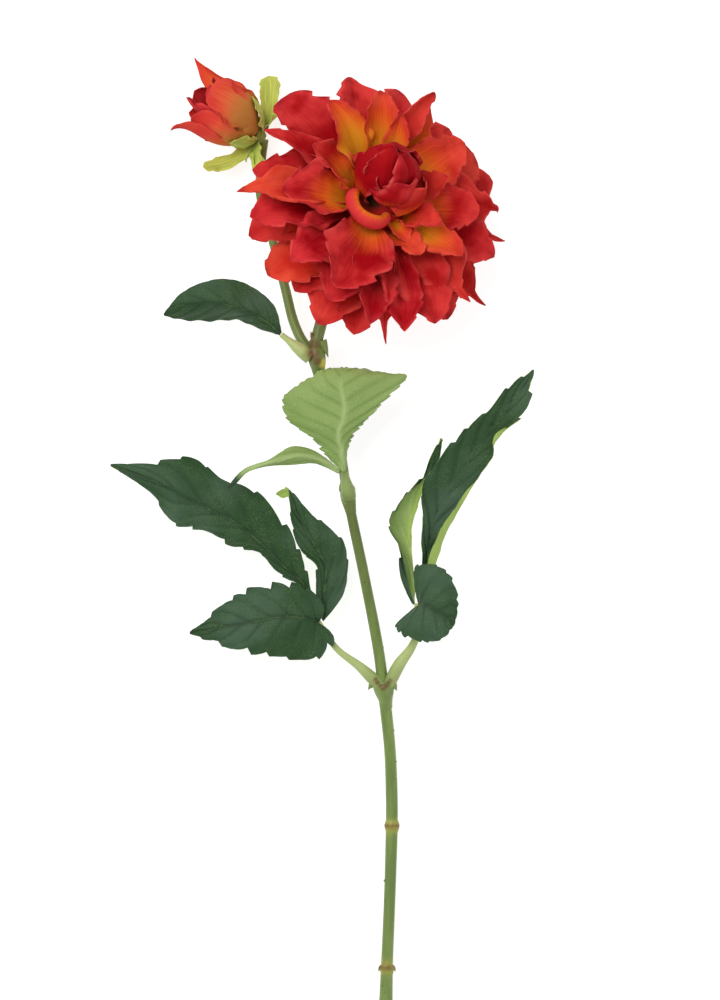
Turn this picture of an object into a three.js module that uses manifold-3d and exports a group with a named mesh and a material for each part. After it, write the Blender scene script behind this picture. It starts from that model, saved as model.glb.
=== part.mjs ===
// A cut dahlia lying face up: a double bloom, a half-open bud on a side stalk, and four leaves on a jointed
// stem, three of them cut into leaflets. Millimetres, +Z up. X runs across the flower and Y along its stem,
// from the cut end to the bloom. The origin is on the table, under the middle of the flower's outline.
import * as THREE from "three";
import { mergeVertices } from "three/addons/utils/BufferGeometryUtils.js";
import Module from "manifold-3d";

const wasm = await Module();
wasm.setup();

const DEGREE = Math.PI / 180;
const TURN = 2 * Math.PI;
const PETAL_THICKNESS = 0.7;
const LEAF_THICKNESS = 0.8;
const SEAT_GAP = 0.3; // between a leaf or a stalk and what carries it
const SEED = 7;

// The bloom faces up, leaning towards +X +Y. Its centre is where the petals spring from.
const BLOOM_CENTRE = new THREE.Vector3(25.5, 161.5, 45);
const BLOOM_TILT = 32;
const BLOOM_HEADING = 47;

// The bud lies on its side and points away from the bloom.
const BUD_CENTRE = new THREE.Vector3(-33.5, 201.5, 15);
const BUD_TILT = 74;
const BUD_HEADING = 147;

// The bloom's heart is a tight ball of petals with its own centre, and leans further over than the rest.
const HEART_CENTRE = new THREE.Vector3(30.5, 163.5, 53);
const HEART_TILT = 44;
const HEART_HEADING = 80;

// Seeded random numbers between -1 and 1, so that every build gives the same flower.
function seededSpread(seed) {
  let state = seed;
  return () => {
    state = (Math.imul(state, 1664525) + 1013904223) >>> 0;
    return state / 2147483648 - 1;
  };
}

// A value read at share t of the way along a list of evenly spaced values, joined by straight lines.
function along(values, t) {
  const place = Math.min(Math.max(t, 0), 1) * (values.length - 1);
  const before = Math.min(Math.floor(place), values.length - 2);
  return THREE.MathUtils.lerp(values[before], values[before + 1], place - before);
}

// A point read at share t of the way along a list of points, joined by a smooth curve.
function smoothly(points, t) {
  const last = points.length - 1;
  const place = Math.min(Math.max(t, 0), 1) * last;
  const i = Math.min(Math.floor(place), last - 1);
  const f = place - i;
  const [a, b, c, d] = [Math.max(i - 1, 0), i, i + 1, Math.min(i + 2, last)].map((k) => points[k]);
  return new THREE.Vector3()
    .addScaledVector(a, -0.5 * f + f * f - 0.5 * f ** 3)
    .addScaledVector(b, 1 - 2.5 * f * f + 1.5 * f ** 3)
    .addScaledVector(c, 0.5 * f + 2 * f * f - 1.5 * f ** 3)
    .addScaledVector(d, -0.5 * f * f + 0.5 * f ** 3);
}

// A closed solid from a geometry whose faces point out.
function solidFrom(geometry) {
  const bare = geometry.clone();
  bare.deleteAttribute("normal");
  bare.deleteAttribute("uv");
  const merged = mergeVertices(bare, 1e-4);
  return new wasm.Manifold(
    new wasm.Mesh({
      numProp: 3,
      vertProperties: new Float32Array(merged.attributes.position.array),
      triVerts: new Uint32Array(merged.index.array),
    }),
  );
}

// Solids joined into one body, with any pocket sealed between them filled in.
function grown(solids) {
  const bodies = wasm.Manifold.union(solids).decompose();
  return bodies.reduce((largest, body) => (body.volume() > largest.volume() ? body : largest));
}

function meshFrom(name, solid, material) {
  const { vertProperties, triVerts } = solid.getMesh();
  const geometry = new THREE.BufferGeometry();
  geometry.setAttribute("position", new THREE.BufferAttribute(vertProperties, 3));
  geometry.setIndex(new THREE.BufferAttribute(triVerts, 1));
  geometry.computeVertexNormals();
  const mesh = new THREE.Mesh(geometry, material);
  mesh.name = name;
  return mesh;
}

function solidOfPoints(positions, faces) {
  const geometry = new THREE.BufferGeometry();
  geometry.setAttribute("position", new THREE.Float32BufferAttribute(positions, 3));
  geometry.setIndex(faces);
  return solidFrom(geometry);
}

// The direction square to a grid of points, rows from root to tip and columns from edge to edge.
function normalAt(grid, row, column) {
  const [rows, columns] = [grid.length - 1, grid[0].length - 1];
  const lengthwise = grid[Math.min(row + 1, rows)][column].clone().sub(grid[Math.max(row - 1, 0)][column]);
  const crosswise = grid[row][Math.min(column + 1, columns)].clone().sub(grid[row][Math.max(column - 1, 0)]);
  return lengthwise.cross(crosswise).normalize();
}

// A closed blade of even thickness round a grid of points. Both its faces are split into triangles alike.
function blade(grid, thickness) {
  const [rows, columns] = [grid.length, grid[0].length];
  const positions = [];
  for (const side of [0.5, -0.5]) {
    for (let i = 0; i < rows; i++) {
      for (let j = 0; j < columns; j++) {
        positions.push(...grid[i][j].clone().addScaledVector(normalAt(grid, i, j), side * thickness));
      }
    }
  }
  const back = rows * columns;
  const faces = [];
  const quad = (a, b, c, d) => faces.push(a, b, c, a, c, d);
  for (let i = 0; i + 1 < rows; i++) {
    for (let j = 0; j + 1 < columns; j++) {
      const a = i * columns + j;
      const [b, c, d] = [a + columns, a + columns + 1, a + 1];
      quad(a, b, c, d);
      faces.push(back + a, back + c, back + b, back + a, back + d, back + c);
    }
  }
  for (let i = 0; i + 1 < rows; i++) {
    const left = i * columns;
    const right = left + columns - 1;
    quad(left, left + back, left + back + columns, left + columns);
    quad(right, right + columns, right + back + columns, right + back);
  }
  for (let j = 0; j + 1 < columns; j++) {
    const tip = (rows - 1) * columns + j;
    quad(j, j + 1, j + back + 1, j + back);
    quad(tip, tip + back, tip + back + 1, tip + 1);
  }
  return solidOfPoints(positions, faces);
}

// A closed round rod along a smooth line through points, with its radius read along a list. An allowance
// makes it that much thicker and longer, for the clearance round it.
function rod({ points, radii, sides = 8, steps }, allowance = 0) {
  const controls = points.map((p) => new THREE.Vector3(...p));
  const line = new THREE.CatmullRomCurve3(controls, false, "centripetal");
  const frames = line.computeFrenetFrames(steps, false);
  const positions = [];
  const centreOf = (i) => {
    const centre = line.getPointAt(i / steps);
    if (i === 0) centre.addScaledVector(frames.tangents[0], -allowance);
    if (i === steps) centre.addScaledVector(frames.tangents[steps], allowance);
    return centre;
  };
  for (let i = 0; i <= steps; i++) {
    const radius = along(radii, i / steps) + allowance;
    for (let k = 0; k < sides; k++) {
      const angle = (TURN * k) / sides;
      const spoke = frames.normals[i].clone().multiplyScalar(Math.cos(angle));
      spoke.addScaledVector(frames.binormals[i], Math.sin(angle));
      positions.push(...centreOf(i).addScaledVector(spoke, radius));
    }
  }
  positions.push(...centreOf(0), ...centreOf(steps));
  const faces = [];
  const start = (steps + 1) * sides;
  for (let k = 0; k < sides; k++) {
    const next = (k + 1) % sides;
    for (let i = 0; i < steps; i++) {
      const [a, b] = [i * sides + k, i * sides + next];
      faces.push(a, b, b + sides, a, b + sides, a + sides);
    }
    faces.push(start, next, k, start + 1, steps * sides + k, steps * sides + next);
  }
  return solidOfPoints(positions, faces);
}

// The matrix that carries a head's own frame, +Z along its axis, to where the head sits.
function headMatrix(centre, tilt, heading) {
  const [t, h] = [tilt * DEGREE, heading * DEGREE];
  const axis = new THREE.Vector3(Math.sin(t) * Math.cos(h), Math.sin(t) * Math.sin(h), Math.cos(t));
  const sideways = new THREE.Vector3(1, 0, 0).addScaledVector(axis, -axis.x).normalize();
  return new THREE.Matrix4().makeBasis(sideways, axis.clone().cross(sideways), axis).setPosition(centre);
}

// A petal's share of its full width at share s of its length: a narrow root, broad middle and pointed tip.
function petalWidth(petal, s) {
  const { rootWidth, widest, point } = petal;
  if (s < widest) return rootWidth + (1 - rootWidth) * Math.sin((Math.PI / 2) * (s / widest)) ** 1.3;
  return Math.max((1 - ((s - widest) / (1 - widest)) ** 1.8) ** point, 0.06);
}

// How far a petal leans from the head's axis at share s of its length.
function petalLean({ lean, bend, hook, hookFrom }, s) {
  const curl = hook * Math.max((s - hookFrom) / (1 - hookFrom), 0) ** 2;
  return (lean[0] + (lean[1] - lean[0]) * s ** bend + curl) * DEGREE;
}

// A petal as a grid of points in the head's frame, rows from root to tip and columns from edge to edge.
function petalGrid(petal, rows, columns) {
  const FINE = 8;
  const outward = new THREE.Vector3(Math.cos(petal.azimuth), Math.sin(petal.azimuth), 0);
  const around = new THREE.Vector3(-outward.y, outward.x, 0);
  const axis = new THREE.Vector3(0, 0, 1);
  const middle = outward.clone().multiplyScalar(petal.root[0]).addScaledVector(axis, petal.root[1]);
  const grid = [];
  for (let i = 0; i <= rows; i++) {
    const s = i / rows;
    for (let k = 0; i > 0 && k < FINE; k++) {
      const at = (i - 1 + (k + 0.5) / FINE) / rows;
      const lean = petalLean(petal, at);
      const sway = petal.sway * DEGREE * Math.cos(Math.PI * at);
      const step = petal.length / (rows * FINE);
      middle.addScaledVector(axis, step * Math.cos(lean) * Math.cos(sway));
      middle.addScaledVector(outward, step * Math.sin(lean) * Math.cos(sway));
      middle.addScaledVector(around, step * Math.sin(sway));
    }
    const lean = petalLean(petal, s);
    const inward = axis.clone().multiplyScalar(Math.sin(lean)).addScaledVector(outward, -Math.cos(lean));
    const twist = (petal.turn + petal.twist * s * s) * DEGREE;
    const across = around.clone().multiplyScalar(Math.cos(twist)).addScaledVector(inward, Math.sin(twist));
    const lift = inward.clone().multiplyScalar(Math.cos(twist)).addScaledVector(around, -Math.sin(twist));
    const half = (petal.width / 2) * petalWidth(petal, s);
    const cup = Math.max(along(petal.cup, s), 1) * DEGREE;
    grid.push([]);
    for (let j = 0; j <= columns; j++) {
      const u = (2 * j) / columns - 1;
      const wave = Math.sin(TURN * (petal.waves * s + petal.phase + (u < 0 ? 0 : 0.37)));
      const ruffle = half * (petal.ruffle * wave * s * u * u - petal.roll * u ** 4);
      const rise = (half / cup) * (1 - Math.cos(cup * u)) + ruffle;
      const point = middle.clone().addScaledVector(across, (half / cup) * Math.sin(cup * u));
      grid[i].push(point.addScaledVector(lift, rise));
    }
  }
  return grid;
}

// Turns a petal about the head's axis, and sets its length, so that its tip lies over a point of the plan.
function aimPetal(petal, head, tip) {
  const [sideways, upwards, axis] = [0, 1, 2].map((k) => new THREE.Vector3().setFromMatrixColumn(head, k));
  const STEPS = 40;
  let [reach, rise] = [0, 0];
  for (let k = 0; k < STEPS; k++) {
    reach += Math.sin(petalLean(petal, (k + 0.5) / STEPS)) / STEPS;
    rise += Math.cos(petalLean(petal, (k + 0.5) / STEPS)) / STEPS;
  }
  const ROUNDS = 8;
  for (let round = 0; round < ROUNDS; round++) {
    const height = petal.root[1] + petal.length * rise;
    const [x, y] = [tip[0] - height * axis.x, tip[1] - height * axis.y];
    const area = sideways.x * upwards.y - upwards.x * sideways.y;
    const across = (x * upwards.y - y * upwards.x) / area;
    const up = (y * sideways.x - x * sideways.y) / area;
    petal.azimuth = Math.atan2(up, across);
    petal.length = (Math.hypot(across, up) - petal.root[0]) / reach;
  }
}

// What every petal has unless its ring or the petal itself says otherwise. Angles are in degrees.
const PLAIN_PETAL = {
  length: 40,
  bend: 1.3,
  turn: 0,
  hookFrom: 0.75,
  rootWidth: 0.42,
  widest: 0.6,
  point: 0.75,
  waves: 1.2,
  ruffle: 0.14,
  roll: 0.08,
};

// The rings of the bloom, from its heart out to the back: where the petals spring from (radius, height), how
// they lean from the axis at root and tip, how far their edges cup at root and tip, their width, and where
// each tip lies on the plan, in X and Y from the bloom's centre. The heart's petals, which have a frame of
// their own, are set by angle and length.
const HEART_RING = {
  root: [6, 4],
  lean: [60, -70],
  bend: 1,
  cup: [50, 64],
  width: 30,
  rootWidth: 0.5,
  point: 0.5,
  ruffle: 0.1,
  petals: [
    { azimuth: 192, length: 43 },
    { azimuth: 20, length: 42 },
    { azimuth: 80, length: 44 },
    { azimuth: 140, length: 43 },
    { azimuth: 335, length: 41, width: 22, lean: [54, -50] },
    { azimuth: 302, length: 31, root: [4, 6], rootWidth: 0.35, lean: [70, -16], hook: 40 },
    { azimuth: 330, length: 30, root: [9, 0], lean: [60, -14], hook: 40 },
    { azimuth: 258, length: 43, width: 24, root: [4, 5], lean: [44, -46] },
    { azimuth: 310, length: 41, width: 19, root: [5, 5], lean: [48, -40], twist: 35 },
    { azimuth: 230, length: 41, width: 21, root: [4, 6], lean: [38, -50] },
    { azimuth: 350, length: 40, width: 21, root: [3.5, 6], lean: [34, -50] },
  ],
};
const BLOOM_RINGS = [
  {
    root: [13, 9],
    lean: [24, 58],
    cup: [62, 34],
    width: 17,
    rows: 4,
    petals: [
      { tip: [14.5, 48], width: 15 },
      { tip: [37.5, 16] },
      { tip: [34.5, -8] },
      { tip: [18, -17], width: 12, root: [11, 12], lean: [56, 84] },
    ],
  },
  {
    root: [13, 6],
    lean: [44, 90],
    rootWidth: 0.3,
    cup: [55, 20],
    width: 28,
    turn: 9,
    rows: 4,
    petals: [
      { tip: [4, 60], width: 24 },
      { tip: [28, 53], width: 24 },
      { tip: [46.5, 34] },
      { tip: [53, -2.5] },
      { tip: [45, -23], width: 20 },
      { tip: [24, -23], width: 17, lean: [40, 70], point: 0.5 },
      { tip: [-18, -39.5], width: 38, root: [13, 10], lean: [58, 108], turn: 0 },
      { tip: [-40, -26.5], width: 29, root: [13, 5], lean: [60, 108] },
      { tip: [-44.5, 9], width: 29, lean: [52, 100] },
      { tip: [-29.5, 31.5], width: 24, lean: [40, 80] },
      { tip: [-21.5, 54.5], width: 24 },
    ],
  },
  {
    root: [13, 3],
    lean: [66, 108],
    rootWidth: 0.26,
    cup: [42, 12],
    width: 32,
    turn: 9,
    rows: 4,
    petals: [
      { tip: [-10.5, 67.5] },
      { tip: [32.5, 61], width: 15, root: [13, 11], lean: [44, 94], sway: 24, twist: 30, cup: [70, 70] },
      { tip: [53, 25] },
      { tip: [63, 0], hook: 60 },
      { tip: [61, -23], width: 28, point: 0.95 },
      { tip: [49, -46], hook: -50 },
      { tip: [31.5, -57] },
      { tip: [16, -61], width: 28, cup: [62, 46], turn: 0 },
      { tip: [-1, -57], width: 28, cup: [62, 46] },
      { tip: [-21, -46] },
      { tip: [-60.5, -4.5] },
      { tip: [-59.5, 19.5], width: 26, root: [13, 2], lean: [70, 110] },
      { tip: [-46, 55], width: 36, point: 0.42 },
    ],
  },
  {
    root: [12, 0],
    lean: [84, 130],
    rootWidth: 0.24,
    cup: [30, 8],
    width: 31,
    turn: 9,
    rows: 4,
    petals: [
      { tip: [39, 43], lean: [84, 116] },
      { tip: [61, 16], lean: [84, 116] },
      { tip: [67, -14], width: 26, hook: -40 },
      { tip: [57, -47], hook: -60 },
      { tip: [38, -54] },
      { tip: [7, -67], width: 22, hook: -40 },
      { tip: [-9, -62.5] },
      { tip: [-27, -57] },
      { tip: [-38.5, -41] },
      { tip: [-52, -33] },
      { tip: [-61.5, -13] },
      { tip: [-67, 8], width: 25, root: [13, 5.5], lean: [64, 114], point: 1.1, cup: [60, 50] },
      { tip: [-54, 39.5], width: 18, root: [13, 7], lean: [62, 108], point: 1.1, cup: [50, 45] },
      { tip: [-38, 61] },
      { tip: [14, 62], lean: [84, 116] },
    ],
  },
];

// The bud's petals overlap in a whorl. Two of them flare out at the tip.
const BUD_RING = {
  root: [4.5, 1.5],
  lean: [80, -24],
  bend: 0.55,
  cup: [58, 60],
  width: 26,
  rootWidth: 0.45,
  point: 0.4,
  petals: [
    { azimuth: -44, length: 39, lean: [84, -18], point: 0.3, hook: 10 },
    { azimuth: -125, length: 36 },
    { azimuth: -150, length: 43, hook: 90, hookFrom: 0.55, point: 0.9, width: 19 },
    { azimuth: 165, length: 35 },
    { azimuth: 113, length: 36 },
    { azimuth: 82, length: 46, lean: [76, -6], hook: 64, hookFrom: 0.5, width: 16, widest: 0.5, point: 1.2 },
    { azimuth: 30, length: 36, width: 18, hook: 10 },
    { azimuth: -20, length: 33, lean: [80, 0], width: 9, point: 1, hook: 40 },
    { azimuth: -20, length: 33, root: [3, 4], lean: [62, -20], width: 20 },
    { azimuth: 100, length: 34, root: [2.5, 5], lean: [58, -24], width: 20 },
    { azimuth: 220, length: 32, root: [2.5, 5], lean: [58, -24], width: 20 },
    { azimuth: 190, length: 35, root: [2, 6], lean: [48, -20], width: 12 },
  ],
};

// The outline is a list of pairs of radius and height, from the foot to the rolled lip. It faces and wraps
// round the head's axis by angles in degrees.
const COLLAR = {
  centre: new THREE.Vector3(-8, -7, 17),
  facing: 238,
  wrap: 105,
  outline: [[7, -8], [7.3, 0], [8.2, 6], [9.8, 9.6], [12, 10.4], [14, 8.4], [14.6, 5], [13.4, 2.2]],
};

const BLOOM_BRACTS = {
  root: [7, -6.5],
  lean: [112, 128],
  cup: [20, 10],
  width: 10,
  rootWidth: 0.7,
  petals: [0, 60, 120, 180, 240, 300].map((azimuth) => ({ azimuth, length: 16 })),
};

const BUD_SEPALS = {
  root: [3.6, -2.8],
  lean: [62, 6],
  cup: [28, 26],
  width: 11,
  rootWidth: 0.5,
  widest: 0.55,
  point: 0.5,
  petals: [
    { azimuth: 44, length: 29, lean: [80, 54], cup: [20, 5], turn: 50, widest: 0.85, point: 0.2 },
    { azimuth: 20, length: 14, lean: [98, 112], cup: [20, 10] },
    { azimuth: -123, length: 17, lean: [112, 152], cup: [20, 10], width: 12 },
    { azimuth: -163, length: 30, lean: [80, 28], cup: [20, 5], turn: -30, widest: 0.8, point: 0.3 },
    { azimuth: -112, length: 18, width: 12, hook: 50 },
    { azimuth: -8, length: 22, width: 14 },
    { azimuth: 113, length: 15, lean: [104, 112], cup: [20, 10] },
    { azimuth: 165, length: 14, lean: [100, 110], cup: [20, 10] },
    { azimuth: -147, length: 17, lean: [104, 150], cup: [20, 10], width: 4 },
  ],
};

const spread = seededSpread(SEED);
const bloomHead = headMatrix(BLOOM_CENTRE, BLOOM_TILT, BLOOM_HEADING);
const heartHead = headMatrix(HEART_CENTRE, HEART_TILT, HEART_HEADING);
const budHead = headMatrix(BUD_CENTRE, BUD_TILT, BUD_HEADING);

// The petals of a ring as solid blades. Seeded draws make each a little different.
function ringBlades(ring, head, rows, columns) {
  return ring.petals.map((own) => {
    const varied = { sway: 7 * spread(), twist: 12 * spread(), phase: spread(), hook: 28 * spread() };
    const petal = { ...PLAIN_PETAL, ...varied, ...ring, ...own };
    if (petal.tip) aimPetal(petal, head, petal.tip);
    else petal.azimuth *= DEGREE;
    const grid = petalGrid(petal, rows, columns);
    grid.forEach((row) => row.forEach((point) => point.applyMatrix4(head)));
    return blade(grid, PETAL_THICKNESS);
  });
}

// A round body in a head's frame, from its outline as pairs of radius and height.
function turned(outline, sides, head) {
  const body = new THREE.LatheGeometry(outline.map((pair) => new THREE.Vector2(...pair)), sides);
  return solidFrom(body.rotateX(Math.PI / 2).applyMatrix4(head));
}

// What lies below the table's surface is pressed flat against it.
function restedOnTable(solid) {
  const SIZE = 1000;
  const below = new THREE.BoxGeometry(SIZE, SIZE, SIZE).translate(0, 0, -SIZE / 2);
  return solid.subtract(solidFrom(below));
}

// The petal that wraps round the foot of the heart, with its lip rolled out, as a grid of points.
function collarGrid(rows, columns) {
  const { centre, facing, wrap, outline } = COLLAR;
  return Array.from({ length: rows + 1 }, (_, i) => {
    const [radius, height] = [0, 1].map((k) => along(outline.map((pair) => pair[k]), i / rows));
    return Array.from({ length: columns + 1 }, (_, j) => {
      const u = (2 * j) / columns - 1;
      const taper = Math.sqrt(1 - Math.abs(u) ** 3) * (1 + 0.06 * Math.sin(7 * u));
      const reach = outline[0][0] + (radius - outline[0][0]) * taper;
      const rise = outline[0][1] + (height - outline[0][1]) * (0.35 + 0.65 * taper);
      const angle = (facing + wrap * u) * DEGREE;
      const point = new THREE.Vector3(reach * Math.cos(angle), reach * Math.sin(angle), rise);
      return point.add(centre).applyMatrix4(bloomHead);
    });
  });
}

function bloomPetals() {
  const outline = [[0, -3.5], [9, -3.5], [15, -1], [16, 3], [15, 9], [12, 16], [7, 22], [0, 25]];
  const core = turned(outline, 10, bloomHead);
  const heart = ringBlades(HEART_RING, heartHead, 4, 3);
  const blades = BLOOM_RINGS.flatMap((ring) => ringBlades(ring, bloomHead, ring.rows, 3));
  const collar = blade(collarGrid(5, 6), PETAL_THICKNESS);
  return restedOnTable(grown([core, collar, ...heart, ...blades]));
}

function bloomCalyx() {
  const cup = turned([[0, -11], [4, -11], [8, -8], [9.5, -3.8], [0, -3.8]], 10, bloomHead);
  return grown([cup, ...ringBlades(BLOOM_BRACTS, bloomHead, 2, 2)]);
}

function budPetals() {
  const core = turned([[0, 0.5], [5, 0.8], [9, 8], [9.5, 15], [6, 22], [0, 25]], 8, budHead);
  return restedOnTable(grown([core, ...ringBlades(BUD_RING, budHead, 4, 2)]));
}

function budCalyx() {
  const cup = turned([[0, -5.5], [2.6, -5.5], [4.6, -2.5], [5.4, 0], [0, 0]], 8, budHead);
  const body = grown([cup, ...ringBlades(BUD_SEPALS, budHead, 3, 2)]);
  return restedOnTable(body);
}

const MAIN_STEM = {
  points: [
    [32.5, -239, 3.1],
    [33, -220.5, 3.2],
    [34.5, -183, 3.7],
    [35.5, -147.5, 4.4],
    [35.5, -133, 4.8],
    [34.5, -108, 5.6],
    [31.5, -80, 7.4],
    [29, -60, 9],
    [22, -23, 12],
    [13.5, 18, 17],
    [9.5, 42, 19.5],
    [3.5, 67, 22.5],
    [-3, 90, 25],
    [-0.5, 104, 25.5],
    [6, 125, 22.5],
    [13.5, 145, 21.5],
    [18, 153.5, 27],
    [21.4, 157.1, 35.3],
  ],
  radii: [3.4, 3, 2.9, 2.9, 3, 3, 2.9, 3, 2.8, 2.7, 2.6, 2.6, 2.5, 2.5, 3, 3.2, 3.1, 3, 3, 3],
  steps: 27,
};
const BUD_STALK = {
  points: [
    [-3, 89, 25],
    [-9.5, 97, 22],
    [-14, 107, 19],
    [-18, 123, 15],
    [-24, 146, 12],
    [-31, 172, 10.5],
    [-30, 188, 11],
    [-28.7, 198.4, 13.4],
  ],
  radii: [2.6, 2.5, 2.4, 2.3, 2.2, 2.1, 2.2],
  steps: 14,
};

// Swollen rings where leaves sprang from the stem, each a short stretch of it.
const JOINTS = [
  { points: [[33.1, -221.5, 3.3], [33.1, -219, 3.3]], radii: [3.2, 3.9, 3.2], steps: 2 },
  { points: [[35.6, -149.5, 4.4], [35.6, -146.5, 4.4]], radii: [3.1, 3.8, 3.1], steps: 2 },
  { points: [[32.3, -83, 7.2], [31, -75, 7.8]], radii: [3.2, 4.8, 4.6, 3.2], steps: 3 },
  { points: [[14.4, 14, 16.5], [12.5, 24, 17.9]], radii: [3, 3.7, 3.7, 3], steps: 3 },
  { points: [[-1.6, 84, 24.4], [-3, 94, 25.2]], radii: [2.8, 4.4, 4.4, 3], steps: 3 },
];

const PETIOLES = {
  top_petiole: {
    points: [[-5.5, 89, 26], [-12.5, 94, 27], [-20, 100, 27.5]],
    radii: [2.8, 2.3, 1.4],
    steps: 5,
  },
  front_petiole: {
    points: [[13.8, 19, 19.5], [12.8, 25, 23.5], [11.6, 31, 26.5]],
    radii: [3, 2.6, 2],
    steps: 5,
  },
  left_petiole: {
    points: [[29.5, -76.5, 8.5], [19.5, -67, 11], [8, -58, 13], [-2, -44, 14.8]],
    radii: [3.2, 2.4, 1.8, 1.6, 1.6],
    steps: 8,
  },
  right_petiole: {
    points: [[33.5, -77, 8.5], [39.5, -65.5, 11.5], [45.5, -57, 14], [49, -48, 16], [48.4, -35, 17]],
    radii: [3, 2.8, 2.3, 1.9, 1.7, 1.7],
    steps: 10,
  },
};

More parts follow.
